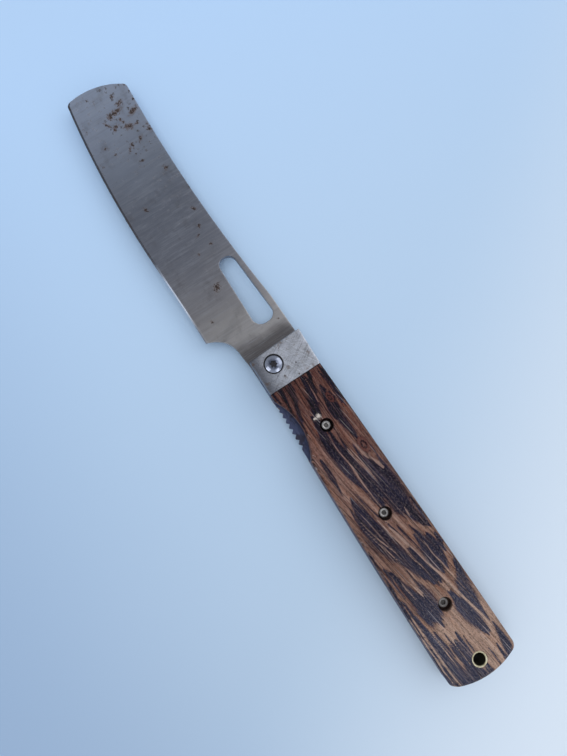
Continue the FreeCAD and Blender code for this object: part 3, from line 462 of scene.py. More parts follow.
# Dark figure on the front scale: strokes of (x, y, half width) in millimetres
DARK = [
    [(-9, -15, 0.35), (-14, -14.9, 0.5), (-24, -15.1, 0.3)],
    [(-9, -14, 0.3), (-18, -14, 0.35), (-26, -13.7, 0.2)],
    [(-8, -12.2, 0.25), (-14, -13.1, 0.2), (-23, -13, 0.15), (-36, -13.4, 0.15)],
    [(-8, -9.3, 0.5), (-10.5, -8.5, 1), (-13, -7.9, 0.4), (-17, -7.3, 0.15)],
    [(-8, -6, 0.3), (-10.5, -5.9, 0.9), (-14, -5.5, 1.3), (-18, -4.7, 1.5), (-22, -3.5, 1.3),
     (-25, -2.5, 0.8), (-27, -2.1, 0.3)],
    [(-23, -0.9, 0.3), (-28, -0.9, 0.9), (-32, -0.4, 1.5), (-37, -0.5, 1.7), (-43, -0.8, 1.6),
     (-48, -1, 1.2), (-53, -1.7, 0.6), (-58, -2.7, 0.2)],
    [(-8, -0.6, 0.5), (-11, -0.3, 0.9), (-14, 0.5, 0.9), (-17, 1.7, 0.7), (-20, 2.6, 0.6),
     (-23, 3.3, 0.3), (-27, 4, 0.15)],
    [(-8, 3.3, 0.6), (-11, 3.5, 0.7), (-14, 3.9, 0.5), (-17, 4.4, 0.2)],
    [(-8, 6.5, 0.35), (-11, 6.4, 0.25), (-14, 5.9, 0.12)],
    [(-15, -10, 0.2), (-17, -10.2, 0.7), (-19, -9.4, 0.5), (-21.5, -8.6, 0.4)],
    [(-18.5, -11.4, 0.25), (-20.5, -12, 0.25), (-22.5, -11, 0.5)],
    [(-21, -9.8, 0.4), (-25, -9.6, 1.7), (-28, -9.5, 1.3), (-32, -10.2, 1.1), (-36, -10.6, 0.7),
     (-39, -10.8, 0.3)],
    [(-21.5, -8.4, 0.3), (-24, -8, 0.5), (-27, -7.8, 0.3), (-29, -7.7, 0.12)],
    [(-31, -5.6, 0.15), (-36, -5.5, 0.2), (-41, -5.4, 0.15)],
    [(-31, -3.2, 0.3), (-36, -3.4, 0.7), (-40, -3.8, 0.9), (-44, -4.3, 1), (-48, -4.7, 1.2),
     (-53, -5.3, 1.9), (-57, -5.5, 2.1), (-61, -5.2, 1.7), (-64, -4.9, 1), (-66, -5.2, 0.4)],
    [(-46, -9.6, 0.7), (-51, -10.2, 1.7), (-55, -11.2, 2.8), (-59, -11, 3.6), (-63, -10.7, 3.5),
     (-67, -10.7, 2.9), (-71, -11.7, 1.9), (-75, -12.9, 1), (-78.5, -14, 0.5)],
    [(-44, -13.6, 0.2), (-50, -13.4, 0.35), (-54, -13.8, 0.4)],
    [(-40, -8, 0.3), (-44, -7.8, 0.5), (-48, -8.1, 0.4), (-53, -8.8, 0.5)],
    [(-38, 5.2, 0.3), (-41, 5.1, 0.7), (-45, 5.2, 0.8), (-49, 5.4, 0.4), (-53, 5.7, 0.15)],
    [(-56, 1.1, 0.15), (-60, 0.5, 0.25), (-64, -0.6, 0.3), (-67, -1.5, 0.2)],
    [(-57, 2.4, 0.1), (-66, 1.1, 0.2), (-75, -0.6, 0.2)],
    [(-55, 3.7, 0.2), (-60, 3.8, 1.2), (-64, 3.7, 2), (-68, 3.6, 2.6), (-72, 3.5, 3), (-76, 2.8, 2.9),
     (-80, 1.4, 2.5), (-84, -0.4, 1.8), (-88, -1.9, 1.6), (-92, -3.1, 1.2), (-95, -4.1, 0.8),
     (-98.5, -4.7, 0.3)],
    [(-59, 6.1, 0.2), (-64, 6.4, 0.4), (-69, 6.3, 0.3)],
    [(-68, -15.2, 0.2), (-74, -15.2, 0.4), (-78, -15, 0.6), (-80, -14.7, 0.3)],
    [(-83, -15.3, 0.3), (-87, -15.2, 0.8), (-90.5, -15, 0.3)],
    [(-81, -11.9, 0.3), (-84, -12.8, 0.9), (-87, -13.1, 1.2), (-90, -12.8, 1.1), (-93, -12.4, 0.7),
     (-96, -12.4, 0.2)],
    [(-75, -8.9, 0.15), (-80, -10.1, 0.6), (-84, -10.8, 0.9), (-88, -10.9, 0.9), (-91, -11, 0.3)],
    [(-79, -8.6, 0.3), (-84, -8.9, 0.7), (-88, -8.8, 1.4), (-92, -9.2, 1.7), (-95, -9.8, 1),
     (-97, -10.3, 0.3)],
    [(-81, -3.9, 0.3), (-86, -4.7, 0.9), (-90, -5.5, 1.3), (-94, -6.1, 1.6), (-97, -6.5, 1.3),
     (-99, -6.8, 0.4)],
    [(-71, -2.6, 0.25), (-76, -3.8, 0.35), (-81, -4.9, 0.25), (-86, -5.9, 0.2)],
    [(-73, -4.8, 0.2), (-79, -6.3, 0.3), (-85, -7.6, 0.2)],
    [(-93, 0.6, 0.2), (-96, -0.4, 0.6), (-98, 0.4, 1.6), (-100, 1.4, 2.8), (-103, 1.9, 3.4),
     (-105.5, 1.7, 3), (-107.5, 1.3, 1.6), (-110, 0.8, 0.3)],
    [(-84, 6.8, 0.3), (-88, 6.2, 0.6), (-92, 5.6, 1), (-96, 4.8, 1.4), (-100, 3.8, 1.8),
     (-104, 3.2, 1.8), (-107, 3, 0.8)],
    [(-87, 1.4, 0.12), (-92, 0.9, 0.3), (-97, -0.2, 0.4)],
    [(-94, -15.9, 0.2), (-97, -15.5, 0.6), (-100, -14.6, 1.3), (-103, -13.6, 1.9), (-106, -12.9, 2.3),
     (-109, -13, 2), (-112, -13.5, 1.2), (-115, -13.7, 0.6), (-119, -14.1, 0.2)],
    [(-76, 9, 0.3), (-84, 9.2, 0.35), (-92, 9.4, 0.3), (-100, 9.7, 0.35), (-108, 9.8, 0.4),
     (-120, 9.6, 0.5), (-128, 9.2, 0.5), (-132, 8.5, 0.5)],
    [(-83, 7.9, 0.3), (-90, 7.6, 0.3), (-96, 7.2, 0.15)],
    [(-97, 8.4, 0.3), (-102, 8.2, 0.4), (-107, 7.8, 0.5), (-112, 7.3, 0.5)],
    [(-103.5, -8.2, 0.5), (-107, -8.5, 1.3), (-110, -8.8, 1.9), (-113, -9.5, 2.2), (-116, -10.2, 2),
     (-119, -10.8, 1.4), (-121, -11.2, 0.9), (-123, -11.3, 0.3)],
    [(-120, -14.7, 0.2), (-124, -15, 0.6), (-127, -15, 0.9), (-130, -14.4, 1.4), (-134, -13.2, 1.3)],
    [(-126, -11.5, 0.2), (-130, -11.5, 0.4), (-134, -11.6, 0.3)],
    [(-127, -8.2, 0.15), (-131, -8.7, 0.25), (-135, -9, 0.2)],
    [(-118.5, -3.2, 0.15), (-123, -3.3, 0.25), (-126, -3.5, 0.2)],
    [(-115, -1.3, 0.2), (-119, -1.4, 0.5), (-123, -1.3, 0.8), (-127, -0.6, 1.3), (-131, 0.2, 1.9)],
    [(-117, 0.4, 0.3), (-120, 0.2, 0.8), (-124, 0.3, 1.3), (-127, 0.6, 1.7), (-130, 0.9, 2.3),
     (-133, 1, 3), (-135, 0.8, 3.6)],
    [(-132, -4.6, 0.5), (-133.5, -4.2, 1), (-135, -3, 2.2)],
    [(-134.8, -3, 2), (-134.5, 1, 2.6), (-133.5, 5, 2.2)],
    [(-115, 2.1, 0.15), (-120, 1.8, 0.4), (-125, 1.5, 0.6), (-131, 1.7, 0.9)],
    [(-116.5, 3.1, 0.15), (-121, 2.7, 0.4), (-125, 2.4, 0.25)],
    [(-111, 4.9, 0.15), (-116, 4.6, 0.4), (-119, 4, 0.3), (-123, 3.7, 0.2)],
    [(-121, 4.9, 0.15), (-126, 4.5, 0.25), (-131, 4.2, 0.3)],
    [(-104, 7.6, 0.3), (-110, 7.2, 0.6), (-114, 6.9, 1.1), (-118, 6.7, 1.5), (-122, 6.5, 1.8),
     (-126, 6.4, 2), (-130, 6.1, 2.2), (-134, 5.4, 2.2)],
    [(-98, 10.6, 0.2), (-108, 10.9, 0.5), (-116, 10.9, 0.7), (-124, 10.8, 0.9), (-131, 10.4, 0.9)],
]
# Pale streaks that cross it
PALE = [
    [(-31, -2, 0.12), (-38, -2.1, 0.15), (-44, -2.9, 0.22), (-50, -3.2, 0.3), (-56, -3.2, 0.18),
     (-64, -4, 0.15)],
    [(-40, -5.6, 0.15), (-44, -6, 0.2), (-48, -6.8, 0.28), (-52, -7.6, 0.25), (-55.5, -8, 0.12)],
    [(-37, -8.6, 0.2), (-42, -9, 0.25), (-45, -9.5, 0.4), (-48, -10.8, 0.5), (-51, -12.2, 0.55),
     (-53.5, -12.9, 0.25)],
    [(-65, 5.4, 0.12), (-70, 4.3, 0.22), (-74, 3.2, 0.22), (-78, 1.8, 0.22), (-81, 0.8, 0.15)],
    [(-67, 6.2, 0.12), (-74, 4.6, 0.18), (-79, 3, 0.2), (-84, 1.5, 0.15)],
    [(-69, -0.1, 0.2), (-75, -1.4, 0.22), (-80, -2.6, 0.18), (-85, -2.9, 0.15), (-88, -3.9, 0.18),
     (-92, -4.9, 0.12)],
    [(-71, -2, 0.2), (-78, -4, 0.35), (-84, -5.4, 0.3), (-90, -6.8, 0.25), (-95, -8, 0.25),
     (-99, -9, 0.4)],
    [(-82, -10, 0.12), (-88, -10.3, 0.18), (-92, -11.1, 0.25), (-95, -11.6, 0.15)],
    [(-69, -11.3, 0.2), (-72.5, -11, 0.25)],
    [(-99, -8.9, 0.5), (-105, -10.3, 0.4), (-110, -11.5, 0.35), (-115, -12.8, 0.35), (-119, -13.3, 0.4),
     (-123, -13.8, 0.2)],
    [(-88, 5.1, 0.12), (-93, 5.1, 0.22), (-98.5, 4.2, 0.12)],
    [(-91, 2.9, 0.15), (-95, 2.1, 0.3), (-99.5, 0.5, 0.45)],
    [(-115, 0.9, 0.12), (-121, 1.1, 0.18), (-127, 0.6, 0.12)],
    [(-112, 5.9, 0.12), (-120, 5.3, 0.2), (-125, 4.9, 0.12)],
    [(-108, 8.8, 0.25), (-118, 8.6, 0.3), (-127, 8.2, 0.3), (-133, 7.4, 0.25)],
    [(-104, 9.9, 0.12), (-116, 9.9, 0.2), (-126, 9.7, 0.2), (-131.5, 9.2, 0.15)],
    [(-9, -6.9, 0.15), (-16, -6.5, 0.2), (-20, -5.9, 0.12)],
    [(-10, -4.9, 0.1), (-15, -4.6, 0.15), (-19, -4.1, 0.1)],
]


FAR = 4.0  # from here on a mark has no effect
WALL_SQUEEZE = 0.06  # how much the figure narrows down a wall, for each millimetre


def stroke_distance(points, strokes):
    """Distance of each point to the nearest of some strokes, 1 on its rim."""
    best = np.full(len(points), FAR)
    for stroke in strokes:
        for (*a, width), (*b, end_width) in zip(stroke, stroke[1:]):
            along, apart = beside(points, a, b)
            best = np.minimum(best, apart / (width + (end_width - width) * along))
    return best


def figure(side):
    """Paints the wood's figure on a scale's points; the rear scale gets it turned end for end."""
    def paint(points, drop):
        x, y = points[:, 0], points[:, 1] * (1 - WALL_SQUEEZE * drop)
        if side < 0:
            x, y = REAR_SHIFT[0] - x, REAR_SQUEEZE * y + REAR_SHIFT[1]
        lift = GRAIN_RISE * np.minimum(x + GRAIN_BEND, 0)
        flat = np.column_stack([x, y - lift])
        slide = 2.6 * rough_field(flat, (0.05, 1.1), 3.1)
        slide += 1.1 * rough_field(flat, (0.14, 2.4), 8.3)
        sway = 0.25 * rough_field(flat, (0.15, 0.5), 5.7)
        moved = np.column_stack([x + slide, y + 0.12 * slide + sway])
        return {"dark_figure": stroke_distance(moved, DARK),
                "pale_figure": stroke_distance(moved, PALE)}
    return paint


# Wear: radius of the rim, how much it varies, that pattern's stretch and seed,
# radius at the sinks, depth of the dents, their pattern's stretch and seed
SCALE_WEAR = (1.25, 0.3, (0.06, 0.06), 1.7, 0.22, 0.025, (0.09, 0.35), 4.4)
BOLSTER_WEAR = (0.42, 0.12, (0.3, 0.3), 2.9, 0.15, 0.012, (0.3, 0.3), 6.1)
SLOPE_START = (-63.75, 9.9)  # fore end of the slope along a scale's belly
SLOPE_LEAN = 2.4 / 75.7  # how fast it comes up on the face, towards the butt
SLOPE_SOFTNESS = 0.35
SEAM_TOLERANCE = 0.01  # for the side that meets the other slab


def worn_face(points, rims, joint, wear, sloped):
    """Height of a slab's outer face: round worn edges apart from the joint, softened sinks, dents."""
    radius, spread, stretch, seed, sink_radius, dent, dent_stretch, dent_seed = wear
    open_sides = [(a, b) for a, b in sides(rims[:1])
                  if max(abs(a[0] - joint), abs(b[0] - joint)) > SEAM_TOLERANCE]
    radius = radius + spread * rough_field(points, stretch, seed)
    height = SCALE_FACE - rounded(clearance(points, open_sides), radius)
    if sloped:
        past = points - SLOPE_START
        slope = SCALE_FACE - (past[:, 1] - past[:, 0] * SLOPE_LEAN)
        height = soft_least(height, slope, SLOPE_SOFTNESS)
    height -= rounded(clearance(points, sides(rims[1:])), sink_radius)
    return height - dent * (1 + rough_field(points, dent_stretch, dent_seed))


def scale_face(points, rims):
    """Meets the bolster at its fore end, and slopes along the belly near the butt."""
    return worn_face(points, rims, max(x for x, _ in rims[0]), SCALE_WEAR, True)


def bolster_face(points, rims):
    """Meets the scale at its rear end."""
    return worn_face(points, rims, min(x for x, _ in rims[0]), BOLSTER_WEAR, False)


# Ovals of (x, y, half length, half width, angle in degrees)
KNOTS = [(-20.6, -10.6, 2.2, 1.1, 6), (-42.0, -11.5, 3.3, 1.9, 4)]
CHIPS = [(-24.1, -3.1, 1.2, 1.1, 20), (-24.4, -1.6, 1.0, 0.6, 60)]
SCRATCH_LEAN = 0.16


def wood(name, side):
    """Dark-figured wood with its grain along the handle, rising towards the back near the butt, with
    painted sheen that lightens it towards the butt and tints its dark figure blue.
    """
    g = Material(name)
    place = g.place
    if side < 0:
        place = g.vector("MULTIPLY_ADD", place, (-1, REAR_SQUEEZE, -1), (*REAR_SHIFT, FACE_HEIGHT))
    x, y, z = g.split(place)
    depth = g.minus(z, FACE_HEIGHT)
    across = g.scaled(depth, 0.75, y)
    rise = g.times(g.math("SMOOTH_MIN", g.plus(x, GRAIN_BEND), 0.0, 20.0), GRAIN_RISE)
    grain = g.join(x, g.minus(across, rise), g.times(depth, 0.4))
    fibre = g.noise(grain, (0.07, 1.2, 0.6), 3.0, 0.6, shift=7.0)
    thread = g.noise(grain, (0.09, 4.2, 1.2), 4.0, 0.7, shift=13.0)
    ragged = g.plus(g.scaled(fibre, 1.2, -0.6), g.scaled(thread, 1.5, -0.75))
    inner = g.plus(g.attribute("dark_figure"), ragged)
    # pale ground and dark figure
    tan = g.ramp(g.noise(grain, (0.03, 0.55, 0.4), 4.0, 0.65, shift=3.0),
                 [(0.3, "64443a"), (0.43, "85604e"), (0.55, "9f7b67"), (0.66, "b4937f"),
                  (0.8, "7f5947")])
    warm = g.noise(grain, (0.06, 0.35, 0.3), 2.0, 0.5, shift=31.0)
    tan = g.stain(tan, "8f5a38", warm, 0.5, 0.68, 0.45)
    # painted sheen: the pale ground lighter towards the butt
    tan = g.stain(tan, "b99a86", x, -98.0, -116.0, 0.4)
    # dark figure with a painted sky sheen: blue-purple tint, bluer and greyer towards the butt
    dark_tone_and_sheen = g.ramp(g.noise(grain, (0.05, 1.4, 0.6), 4.0, 0.65, shift=11.0),
                   [(0.34, "1a1522"), (0.5, "292432"), (0.64, "403a49"), (0.76, "524240")])
    dark_tone_and_sheen = g.stain(dark_tone_and_sheen, "474a59", x, -75.0, -110.0, 0.38)
    color = g.stain(tan, "5b3f38", inner, 2.0, 1.1, 0.65)
    color = g.stain(color, dark_tone_and_sheen, inner, 1.5, 0.95, 1.0)
    # lines along the grain, fewer near the butt
    calm = g.soft(x, -94.0, -110.0, 1.0, 0.4)
    lines = g.noise(grain, (0.022, 1.25, 0.8), 4.0, 0.65, shift=19.0)
    color = g.stain(color, "2a1e20", lines, 0.52, 0.6, 0.7, where=calm)
    fine = g.noise(grain, (0.03, 2.6, 1.0), 4.0, 0.7, shift=23.0)
    color = g.stain(color, "2b1e1c", fine, 0.53, 0.62, 0.7, where=calm)
    pale = g.noise(grain, (0.018, 2.1, 1.0), 4.0, 0.7, shift=29.0)
    color = g.stain(color, "a5877a", pale, 0.56, 0.63, 0.4)
    streak = g.scaled(ragged, 0.45, g.attribute("pale_figure"))
    color = g.stain(color, "ae8f7c", streak, 1.4, 0.85, 0.9)
    hair = g.noise(grain, (0.035, 1.9, 0.9), 2.0, 0.5, shift=61.0)
    color = g.stain(color, "1c1416", hair, 0.6, 0.66, 0.8, where=calm)
    color = g.stain(color, "9c7c67", hair, 0.36, 0.31, 0.5)
    speck = g.noise(grain, (0.9, 2.0, 1.6), 2.0, 0.6, shift=71.0)
    color = g.stain(color, "16121a", speck, 0.54, 0.66, 0.5)
    color = g.stain(color, "9a8274", speck, 0.42, 0.34, 0.26)
    # knots
    flat = g.join(x, y, 0.0)
    ring = g.nearest(flat, KNOTS)
    swirl = g.noise(flat, (1.0, 1.3, 1.0), 3.0, 0.65, shift=73.0)
    swirl = g.plus(g.times(ragged, 0.18), swirl)
    rings = g.math("SINE", g.times(g.plus(swirl, ring), 8.5))
    knot = g.mix(g.soft(rings, -0.1, 0.6), "70493d", "22151b")
    color = g.stain(color, knot, g.scaled(swirl, 0.5, ring), 1.45, 1.25, 0.9)
    # painted sheen, pores, dust and scratches
    # painted sheen: darker near the bolster, lighter and bluer towards the butt
    butt_sheen_ramp = g.ramp(g.scaled(x, -1 / 130, -8 / 130),
                   [(0.0, "9a8a91"), (0.16, "b3a6ad"), (0.4, "cdcbd2"), (0.6, "d0d0d4"),
                    (0.8, "eaeff2")])
    color = g.mix(1.0, color, butt_sheen_ramp, "MULTIPLY")
    pores = g.soft(g.noise(grain, (0.4, 6.0, 4.0), 2.0, 0.5, shift=41.0), 0.57, 0.68)
    color = g.mix(g.times(pores, 0.55), color, "1a1414")
    dust = g.soft(g.noise(place, (1.1, 2.2, 2.0), 4.0, 0.75, shift=53.0), 0.62, 0.74)
    color = g.mix(g.times(dust, 0.36), color, "a99a8e")
    grit = g.noise(place, (2.3, 2.6, 2.3), 1.0, 0.5, shift=79.0)
    dry = g.soft(x, -12.0, -60.0, 0.25, 1.0)
    color = g.stain(color, "857b78", grit, 0.56, 0.7, 0.3, where=dry)
    color = g.stain(color, "120e12", grit, 0.44, 0.3, 0.45)
    slant = g.join(g.scaled(y, SCRATCH_LEAN, x), g.scaled(x, -SCRATCH_LEAN, across), depth)
    scratch = g.noise(slant, (0.05, 2.3, 1.0), 2.0, 0.5, shift=67.0)
    color = g.stain(color, "b0a4a0", scratch, 0.66, 0.71, 0.4)
    if side > 0:
        splinters = g.noise(place, (1.6, 1.6, 1.6), 4.0, 0.75)
        chip = g.scaled(splinters, 3.0, g.nearest(flat, CHIPS))
        color = g.stain(color, "b5aaa0", chip, 2.55, 1.75, 0.9)
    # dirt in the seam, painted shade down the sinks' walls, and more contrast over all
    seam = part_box("front_scale")[1][0] * MILLIMETRES
    color = g.stain(color, "120d0d", g.split(g.place)[0], seam - 0.45, seam - 0.1, 0.8)
    # painted shade down the sinks' walls, near black
    color = g.mix(g.times(g.attribute("grime"), 0.85), color, "14100f")
    deepened = g.vector("MULTIPLY_ADD", color, (1.24, 1.28, 1.33), (-0.009, -0.0068, -0.0045))
    color = g.vector("MAXIMUM", deepened, (0.002, 0.002, 0.002))
    g.bump(g.minus(g.times(fine, 0.6), pores), 0.35, 0.00012)
    rough = g.scaled(fine, 0.25, 0.4)
    return g.set(color=color, specular=0.13, roughness=g.scaled(pores, 0.2, rough))


# steel

# Ovals, as for the knots
RUST_SPOTS = [
    (127.5, -5.4, 0.9, 0.8, 0), (121, -3, 1, 2.6, 8), (120.4, -0.2, 1.2, 1, 0),
    (118, -9.3, 0.9, 1.8, 20), (113.3, -4.3, 1.1, 1.7, -25), (116, -3.5, 0.6, 0.6, 0),
    (117.5, -3, 0.7, 0.6, 0), (115.8, -0.2, 0.7, 1, 0), (114.7, 1.1, 0.6, 0.6, 0),
    (118.2, 2.6, 1.6, 0.5, 30), (108, -11, 1.2, 0.9, 0), (110.3, -11.2, 0.6, 0.5, 0),
    (106.4, -5.7, 1.3, 0.6, -35), (106, -1.4, 0.9, 0.7, 0), (104.6, 0.3, 1.6, 0.45, -40),
    (102, -0.7, 0.5, 0.4, 0), (98.3, -1.4, 0.5, 0.9, -20), (90.8, -7.7, 1.2, 0.8, -20),
    (80.3, 8.2, 1.1, 0.6, 20), (79.4, -11.4, 0.8, 0.4, 0), (70.7, -7.9, 1.1, 0.6, 40),
    (63.6, -5.9, 0.9, 0.6, 0), (60.4, -3.3, 0.4, 0.9, 20), (55, -6, 0.6, 0.6, 40),
    (54, 0.3, 0.6, 0.6, 0), (38.9, 1.6, 1.9, 1.2, -35), (15.7, -11.7, 0.5, 0.5, 0),
    (28.6, 10.5, 0.6, 0.6, 0), (110.3, 8.4, 0.8, 0.7, 35), (106, 6.3, 0.6, 0.5, 0),
    (120, 11, 0.5, 0.5, 0), (104.2, 12.9, 0.5, 0.4, 0), (131.3, 4.1, 0.5, 0.5, 0),
    (134.4, 6.9, 0.4, 0.5, 0), (129.5, -12.2, 0.9, 0.5, 0), (126, -12.4, 0.6, 0.4, 0),
    (123.6, -6.2, 0.9, 1.4, 15), (122.2, -12, 0.6, 0.4, 0), (112.6, -8, 0.6, 0.8, 0),
    (132.3, -9.6, 0.6, 0.8, 10),
]
RUST_CLUSTER = (116.0, -4.0, 8.2)


def blade_steel():
    """Satin steel, stained in the middle, with rust, painted reflections (dark by the bolster, pale
    blue towards the tip) and a painted highlight along part of the bevel.
    """
    g = Material("blade_steel_satin")
    x, y, _ = g.split(g.place)
    cloud = g.noise(g.place, (0.05, 0.07, 0.1), 3.0, 0.5)
    share = g.scaled(x, 1 / 128, -8 / 128)
    share = g.plus(share, g.scaled(cloud, 0.1, -0.05))
    # painted reflections along the blade: dark next to the bolster, pale blue towards the tip
    base = g.ramp(share, [(0.0, "656263"), (0.025, "6d6a6b"), (0.065, "b0adad"), (0.12, "aeabab"),
                          (0.2, "9b999d"), (0.38, "828590"), (0.55, "7e8390"), (0.7, "9098a8"),
                          (0.85, "a7b1c5"), (1.0, "b4c0d6")])
    lines = g.noise(g.place, (3.4, 0.05, 0.3), 5.0, 0.75)
    faint = g.noise(g.place, (0.8, 0.03, 0.3), 4.0, 0.7, shift=5.0)
    base = g.stain(base, "b3b4b8", lines, 0.42, 0.75, 0.28)
    base = g.stain(base, "4f5158", faint, 0.55, 0.25, 0.2)
    smudge = g.noise(g.place, (0.16, 0.22, 0.2), 4.0, 0.65, shift=13.0)
    base = g.stain(base, "5b5756", smudge, 0.5, 0.75, 0.3)
    drawn = g.noise(g.place, (1.6, 0.12, 0.3), 3.0, 0.6, shift=21.0)
    base = g.stain(base, "c3c9d6", drawn, 0.48, 0.72, 0.18)
    haze = g.noise(g.place, (0.5, 0.5, 0.5), 3.0, 0.6, shift=21.0)
    # bevel colour; its bright blue-white stretch is a painted highlight
    bevel_tone_with_glint = g.ramp(share, [(0.0, "848c9c"), (0.14, "848c9c"), (0.22, "d3deef"), (0.33, "ccd8ec"),
                           (0.4, "666b76"), (0.6, "4a4d56"), (1.0, "3c3e46")])
    bevel = g.math("DIVIDE", g.attribute("bevel"), g.soft(x, 50.0, 62.0, 0.62, 1.0))
    # painted highlight on the bevel, from about 28 to 57 mm
    bright = g.times(g.soft(x, 57.0, 50.0), g.soft(x, 28.0, 38.0))
    edge = g.times(g.soft(bevel, 0.95, 0.8), bright)
    base = g.stain(base, bevel_tone_with_glint, bevel, 1.0, 0.75, 0.85)
    ragged = g.noise(g.place, (1.5, 1.5, 1.5), 3.0, 0.75, shift=3.0)
    near = g.plus(g.attribute("rust"), g.scaled(ragged, 5.0, -2.35))
    halo = g.soft(near, 1.8, 0.9, 0.0, 0.9)
    crust = g.soft(near, 1.05, 0.75)
    pit = g.soft(near, 0.9, 0.5)
    apart = g.vector("LENGTH", g.vector("SUBTRACT", g.place, RUST_CLUSTER))
    cluster = g.soft(apart, 16.0, 5.0)
    base = g.mix(g.times(halo, g.scaled(cluster, 0.4, 0.2)), base, "7d5f48")
    scab = g.mix(g.soft(ragged, 0.38, 0.58), "231917", "523825")
    base = g.mix(g.times(crust, 0.9), base, scab)
    tip = g.times(g.soft(x, 60.0, 115.0, 0.15, 0.9), g.soft(y, 6.0, -6.0, 0.6, 1.0))
    tip = g.greater(tip, cluster)
    dots = g.plus(g.cells(0.42), g.scaled(ragged, 1.1, -0.55))
    specks = g.times(g.soft(dots, 0.27, 0.17), tip)
    edge_pits = g.times(g.soft(haze, 0.47, 0.56), g.soft(g.attribute("bevel"), 1.0, 0.8))
    specks = g.greater(specks, g.times(edge_pits, g.soft(x, 55.0, 65.0, 0.0, 0.8)))
    worn = g.greater(pit, specks)
    base = g.mix(g.times(worn, 0.9), base, "251c1b")
    dull = g.greater(crust, worn)
    rough = g.scaled(lines, 0.16, 0.3)
    rough = g.scaled(dull, 0.35, rough)
    g.bump(lines, 0.25, 0.00005)
    # the painted highlight on the bevel also lowers its metalness there
    metal = g.scaled(edge, -0.5, g.scaled(dull, -0.9, 1.0))
    return g.set(color=base, metallic=metal, roughness=rough)


def bolster_steel():
    """Scuffed brushed steel with small pits and brown stains, darker towards the belly, with painted
    shade round and down the pivot's sink.
    """
    g = Material("bolster_steel_scuffed")
    x, y, z = g.split(g.place)
    cloud = g.noise(g.place, (0.22, 0.22, 0.22), 5.0, 0.7)
    base = g.ramp(cloud, [(0.3, "a0a3ab"), (0.5, "bec2cc"), (0.7, "d4d8e4")])
    brush = g.noise(g.place, (0.5, 2.6, 2.0), 5.0, 0.8, distortion=0.8)
    base = g.stain(base, "c6c8cf", brush, 0.42, 0.7, 0.55)
    scuff = g.noise(g.place, (1.8, 0.9, 1.0), 5.0, 0.8, distortion=1.0, shift=9.0)
    base = g.stain(base, "626167", scuff, 0.5, 0.66, 0.5)
    for lean, code, shift in ((0.55, "e6eaf3", 27.0), (-1.6, "5f6069", 37.0), (2.4, "e6eaf3", 43.0)):
        turned = g.join(g.scaled(y, lean, x), g.scaled(x, -lean, y), z)
        scratch = g.noise(turned, (0.1, 1.7, 1.2), 2.0, 0.6, distortion=0.1, shift=shift)
        base = g.stain(base, code, scratch, 0.54, 0.66, 0.48)
    base = g.stain(base, "5b5d67", y, -0.5, 7.5, 0.85)
    stain = g.noise(g.place, (0.36, 0.36, 0.36), 4.0, 0.65, shift=17.0)
    base = g.stain(base, "6f5a49", stain, 0.55, 0.7, 0.6)
    pits = g.soft(g.cells(0.3), 0.15, 0.08)
    base = g.mix(g.times(pits, 0.85), base, "2b2122")
    reach = g.away(PIVOT)
    # painted shade round the pivot's sink and down its wall
    grime = g.greater(g.attribute("grime"), g.soft(reach, 3.98, 3.74))
    base = g.mix(g.times(grime, 0.95), base, "0c0b0b")
    rough = g.scaled(brush, 0.25, 0.24)
    dull = g.greater(pits, grime)
    g.bump(g.minus(g.times(brush, 0.5), pits), 0.3, 0.00006)
    return g.set(color=base, metallic=g.scaled(dull, -0.8, 1.0), roughness=rough)


def liner_steel():
    """Dull darkened steel, brushed along the handle, with a painted sky reflection in its blue tint."""
    g = Material("liner_steel_dark")
    brush = g.noise(g.place, (0.25, 5.0, 3.0), 4.0, 0.7)
    cloud = g.noise(g.place, (0.2, 0.2, 0.2), 3.0, 0.6, shift=2.0)
    # the blue tint is a painted sky reflection
    base = g.ramp(brush, [(0.3, "4b526b"), (0.55, "687092"), (0.75, "8791b3")])
    base = g.stain(base, "453a38", cloud, 0.5, 0.66, 0.6)
    g.bump(brush, 0.25, 0.00005)
    return g.set(color=base, metallic=0.95, roughness=g.scaled(brush, 0.25, 0.28))


def bright_steel():
    """Polished steel with hairlines, a little dirt, and painted shade in the sockets, the pivot's
    recess and round its head.
    """
    g = Material("bright_steel_polished")
    hair = g.noise(g.place, (1.2, 6.0, 3.0), 4.0, 0.8, distortion=1.0)
    dirt = g.noise(g.place, (0.8, 0.8, 0.8), 4.0, 0.65, shift=6.0)
    base = g.ramp(hair, [(0.3, "aaa7a6"), (0.6, "cac6c4"), (0.8, "dedbd8")])
    base = g.stain(base, "6f675f", dirt, 0.55, 0.72, 0.5)
    z = g.split(g.place)[2]
    reach = g.away(PIVOT)
    base = g.mix(g.soft(reach, 5.0, 4.0), base, g.mix(1.0, base, "d2dff9", "MULTIPLY"))
    # painted shade in the pivot's star recess
    deep = g.soft(g.math("ABSOLUTE", g.minus(z, MID_HEIGHT)), 7.34, 7.2)
    recess_shade = g.times(g.soft(reach, 1.5, 1.42), deep)
    smear = g.times(g.soft(reach, 2.5, 1.5), g.soft(reach, 3.7, 3.6))
    smear = g.times(smear, g.soft(dirt, 0.4, 0.55, 0.35, 1.0))
    base = g.mix(g.times(smear, 0.8), base, "434c62")
    # painted shade in the gap round the pivot's head
    rim = g.times(g.soft(reach, 3.22, 3.36), g.soft(reach, 4.0, 3.9))
    grime = g.greater(g.attribute("grime"), g.greater(recess_shade, rim))
    base = g.mix(g.times(grime, 0.9), base, "1b1614")
    g.bump(hair, 0.12, 0.00003)
    rough = g.scaled(dirt, 0.26, 0.04)
    return g.set(color=base, metallic=g.scaled(grime, -0.8, 1.0), roughness=rough)


